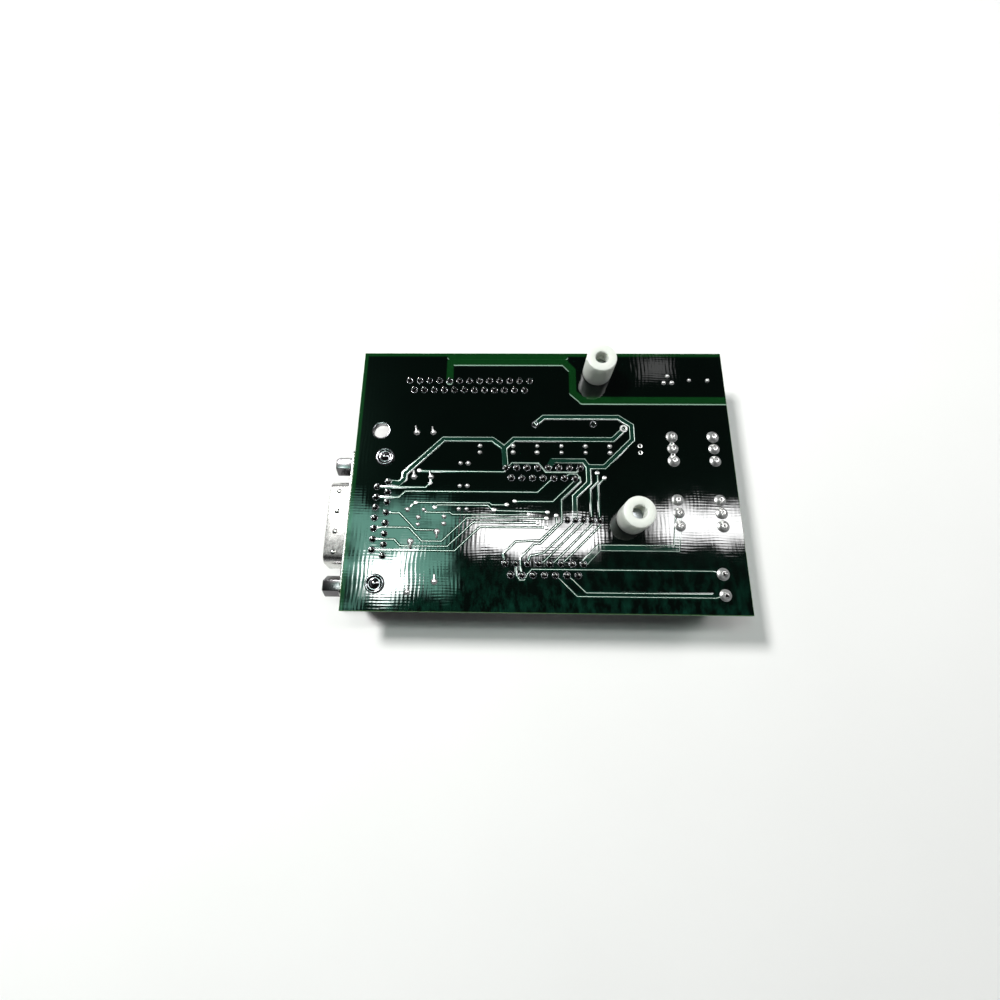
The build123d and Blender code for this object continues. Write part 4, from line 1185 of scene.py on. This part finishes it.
@dataclass
class ComponentSide:
    """Everything soldered on the hidden side: capacitors, diodes, relays and the terminal."""

    plain: tuple[tuple[str, Dress, float, Slot], ...] = (
        ("header_base", IVORY_POLYAMIDE, 0.15, Slot.HEADER),
        ("header_pins", TINNED_WIRE, 0.08, Slot.WIRE),
        ("film_capacitor", RED_BOX, 0.2, Slot.FILM),
        ("driver_transistor", BLACK_EPOXY, 0.12, Slot.EPOXY),
        ("relay_1", RELAY_PLASTIC, 0.2, Slot.RELAY),
        ("relay_2", RELAY_PLASTIC, 0.2, Slot.RELAY),
        ("terminal_block", TERMINAL_GREEN, 0.2, Slot.TERMINAL),
        ("terminal_screws", ZINC, 0.08, Slot.SCREW),
        ("component_leads", TINNED_WIRE, 0.04, Slot.WIRE),
        ("diode_leads", TINNED_WIRE, 0.04, Slot.WIRE),
        ("relay_pins", TINNED_WIRE, 0.08, Slot.WIRE),
        ("terminal_pins", TINNED_WIRE, 0.08, Slot.WIRE))
    cans: tuple[str, ...] = ("electrolytic_1", "electrolytic_2", "electrolytic_3", "reservoir_capacitor")
    drop_rounding: float = 0.45
    stripe: float = 32.0
    relay_lip: Outline = ((0.3, 0.0), (0.0, -0.05), (0.0, -0.75), (0.3, -0.85))

    def build(self) -> None:
        """Makes and dresses each component."""
        for node, dress, width, slot in self.plain:
            formed(node, dress, width, slot)
        for number in range(1, 9):
            self._ceramic(f"ceramic_capacitor_{number}")
        for node in self.cans:
            self._can(node)
        for number in range(1, 5):
            self._diode(f"power_diode_{number}")
        for number in (1, 2):
            self._relay_seam(f"relay_{number}")

    def _ceramic(self, node: str) -> None:
        """A dipped capacitor: the CAD body rounded all over like a drop."""
        piece = to_object(f"{node}_dipped", closed_mesh(node, merged_copy(node)), [OCHRE_EPOXY])
        settle(round_edges(piece, self.drop_rounding, 3, 20, False), Slot.CERAMIC, node)

    def _can(self, node: str) -> None:
        """A can capacitor: bung, crimped groove, sleeve with its stripe, and a bare scored end."""
        low, high, middle = box_of(node)
        r, h = (high.x - low.x) / 2 / MM, (high.z - low.z) / MM
        foot = Vector((middle.x, middle.y, high.z))
        waist = r - (0.09 * r + 0.1)
        outline = ((0.0, 0.25, 2), (r * 0.72, 0.25, 2), (r * 0.74, 0.0), (r - 0.15, 0.0), (r, 0.2),
                   (r, 0.9), (waist, 1.25), (waist, 1.5), (r, 1.85), (r, h * 0.5), (r, h - 0.35),
                   (r - 0.12, h - 0.1), (r - 0.4, h), (r * 0.74, h, 1), (r * 0.7, h - 0.12, 1),
                   (0.0, h - 0.14, 1))
        mesh = Turning(outline, 48, 42.0).mesh(node, foot, Vector((0, 0, -1)))
        for face in mesh.polygons:
            away = face.center - foot
            turned = abs(math.atan2(away.y, away.x) + math.pi / 2)
            if face.material_index == 0 and turned < math.radians(self.stripe):
                face.material_index = 3
        settle(to_object(f"{node}_sleeved", mesh, [BLUE_SLEEVE, ALUMINIUM, RUBBER, PALE_STRIPE]),
               Slot.CAN, node)

    def _diode(self, node: str) -> None:
        """An axial diode: a moulded body with rounded ends and a silver band near its far end."""
        low, high, middle = box_of(node)
        r, long = (high.x - low.x) / 2 / MM, (high.y - low.y) / MM
        outline = ((0.0, 0.0), (r * 0.72, 0.02), (r * 0.93, 0.18), (r, 0.55), (r, long * 0.7),
                   (r, long * 0.7, 1), (r, long * 0.84, 1), (r, long * 0.84), (r, long - 0.55),
                   (r * 0.93, long - 0.18), (r * 0.72, long - 0.02), (0.0, long))
        mesh = Turning(outline, 36, 50.0).mesh(node, Vector((middle.x, low.y, middle.z)), Vector((0, 1, 0)))
        settle(to_object(f"{node}_moulded", mesh, [BLACK_EPOXY, SILVER_BAND]), Slot.EPOXY, node)

    def _relay_seam(self, node: str) -> None:
        """The lip of a relay's base, where its cover is sealed."""
        low, high, _ = box_of(node)
        made = bmesh.new()
        rings = []
        for inset, height in self.relay_lip:
            x0, y0, x1, y1 = (low.x + inset * MM, low.y + inset * MM, high.x - inset * MM,
                              high.y - inset * MM)
            rings.append([made.verts.new((x, y, high.z + height * MM))
                          for x, y in ((x0, y0), (x1, y0), (x1, y1), (x0, y1))])
        for upper, lower in zip(rings, rings[1:]):
            for n in range(4):
                made.faces.new([upper[n], lower[n], lower[(n + 1) % 4], upper[(n + 1) % 4]])
        for ring in (rings[0], rings[-1]):
            made.faces.new(ring)
        bmesh.ops.recalc_face_normals(made, faces=made.faces)
        piece = to_object(f"{node}_base", closed_mesh("base", made, smooth=False), [BLACK_POLYESTER])
        settle(piece, Slot.RELAY)


@dataclass(frozen=True)
class Panel:
    """A soft overhead panel: bright in its middle, fading and ragged at its edges like a curtained window."""

    name: str
    middle: Point
    size: Point
    radiance: float
    fade: Point
    ragged: float
    colour: tuple[float, float, float] = (1.0, 1.0, 1.0)

    def build(self, height: float) -> None:
        """Hangs the panel.

        Args:
            height: its height above the table, in metres.
        """
        lamp = bpy.data.lights.new(self.name, "AREA")
        lamp.shape = "RECTANGLE"
        lamp.size, lamp.size_y = self.size
        lamp.energy = self.radiance * math.pi * self.size[0] * self.size[1]
        lamp.color = self.colour
        tree = bare_tree(lamp)
        at = add(tree, "ShaderNodeNewGeometry")
        noise = add(tree, NOISE, {"Vector": at, "Scale": 22.0, "Detail": 3.0}).outputs["Color"]
        centred = add(tree, VECTOR, {0: noise, 1: (0.5, 0.5, 0.5)}, operation="SUBTRACT")
        pushed = add(tree, VECTOR, {0: centred, "Scale": 2 * self.ragged}, operation="SCALE")
        moved = add(tree, VECTOR, {0: at, 1: pushed}, operation="ADD")
        from_middle = add(tree, VECTOR, {0: moved, 1: (*self.middle, 0.0)}, operation="SUBTRACT")
        parts = add(tree, SPLIT, {0: from_middle}).outputs
        share: object = 1.0
        for axis, size, fade in zip("XY", self.size, self.fade):
            away = add(tree, MATH, {0: parts[axis]}, operation="ABSOLUTE")
            bright = add(tree, RANGE, {"Value": away, "From Min": size / 2, "From Max": size / 2 * (1 - fade)},
                         interpolation_type="SMOOTHSTEP")
            share = add(tree, MATH, {0: share, 1: bright}, operation="MULTIPLY")
        glow = add(tree, "ShaderNodeEmission", {"Strength": share})
        add(tree, "ShaderNodeOutputLight", {"Surface": glow})
        link(bpy.data.objects.new(self.name, lamp)).location = (*self.middle, height)


@dataclass
class Stage:
    """The plain table, the studio light and the camera at the photograph's place."""

    lens: float = 16.92
    sensor: float = 36.0
    eye: tuple[float, float, float] = (-0.00517, -0.04076, 0.13052)
    eye_right: tuple[float, float, float] = (0.9998, 0.0131, -0.0169)
    eye_up: tuple[float, float, float] = (-0.0079, 0.9613, 0.2754)
    eye_back: tuple[float, float, float] = (0.0199, -0.2752, 0.9612)
    table_half: float = 1.6
    table_drop: float = 0.02
    lamp_height: float = 0.6
    lamp_step: float = 0.003
    wall_low: float = 0.12
    wall_high: float = 0.42
    wall_glow: float = 0.45
    ceiling_glow: float = 0.018
    panels: tuple[Panel, ...] = (
        Panel("window_left", (-0.18, 0.08), (0.22, 0.19), 3.8, (0.6, 0.6), 0.09, (0.42, 1.0, 0.8)),
        Panel("window_left_core", (-0.182, 0.052), (0.088, 0.095), 20.0, (0.5, 0.6), 0.06),
        Panel("window_middle", (0.036, 0.096), (0.22, 0.08), 17.0, (0.35, 0.7), 0.06),
        Panel("window_strip", (0.32, 0.125), (0.24, 0.085), 15.0, (0.3, 0.8), 0.03),
        Panel("window_small", (0.234, 0.385), (0.06, 0.04), 0.8, (0.4, 0.4), 0.01),
        Panel("key_far_left", (-0.37, 0.275), (0.14, 0.17), 115.0, (0.2, 0.2), 0.0),
        Panel("fill_right", (0.62, 0.33), (0.34, 0.4), 8.0, (0.3, 0.3), 0.0),
    )

    def build(self) -> None:
        """Sets up the table, the lamps, the world and the camera."""
        self._table()
        for order, panel in enumerate(self.panels):
            panel.build(self.lamp_height - order * self.lamp_step)
        self._room()
        self._camera()

    def _table(self) -> None:
        """A level white table top just under the object."""
        made = bmesh.new()
        bmesh.ops.create_grid(made, x_segments=1, y_segments=1, size=self.table_half)
        bmesh.ops.translate(made, verts=made.verts, vec=Vector((0, 0, -self.table_drop * MM)))
        to_object("table_top", closed_mesh("table_top", made, smooth=False), [TABLE_WHITE])

    def _room(self) -> None:
        """A dim room with paler walls, for what the panels' images leave free."""
        world = bpy.data.worlds.new("dim_room")
        tree = bare_tree(world)
        toward = add(tree, "ShaderNodeTexCoord").outputs["Generated"]
        up = add(tree, SPLIT, {0: toward}).outputs["Z"]
        strength = add(tree, RANGE, {"Value": up, "From Min": self.wall_low, "From Max": self.wall_high,
                                     "To Min": self.wall_glow, "To Max": self.ceiling_glow},
                       interpolation_type="SMOOTHSTEP")
        room = add(tree, "ShaderNodeBackground", {"Color": (0.94, 0.97, 1.0, 1.0), "Strength": strength})
        add(tree, "ShaderNodeOutputWorld", {"Surface": room})
        bpy.context.scene.world = world
        bpy.context.scene.view_settings.view_transform = "Standard"

    def _camera(self) -> None:
        """The camera, at the place and turn worked out from the pin fields in the photograph."""
        lens = bpy.data.cameras.new("photo_camera")
        lens.lens = self.lens
        lens.sensor_width = self.sensor
        lens.clip_start = 0.005
        made = link(bpy.data.objects.new("photo_camera", lens))
        turn = Matrix((self.eye_right, self.eye_up, self.eye_back)).transposed().to_4x4()
        made.matrix_world = Matrix.Translation(self.eye) @ turn
        bpy.context.scene.camera = made


def main() -> None:
    """Builds the sub-assemblies in order."""
    logging.basicConfig(level=logging.INFO, format="%(name)s: %(message)s")
    for assembly in (Stage(), Board(), Tracks(), SolderWork(), Connectors(), Fixings(), Spacers(),
                     ComponentSide()):
        assembly.build()


if __name__ == "__main__":
    main()
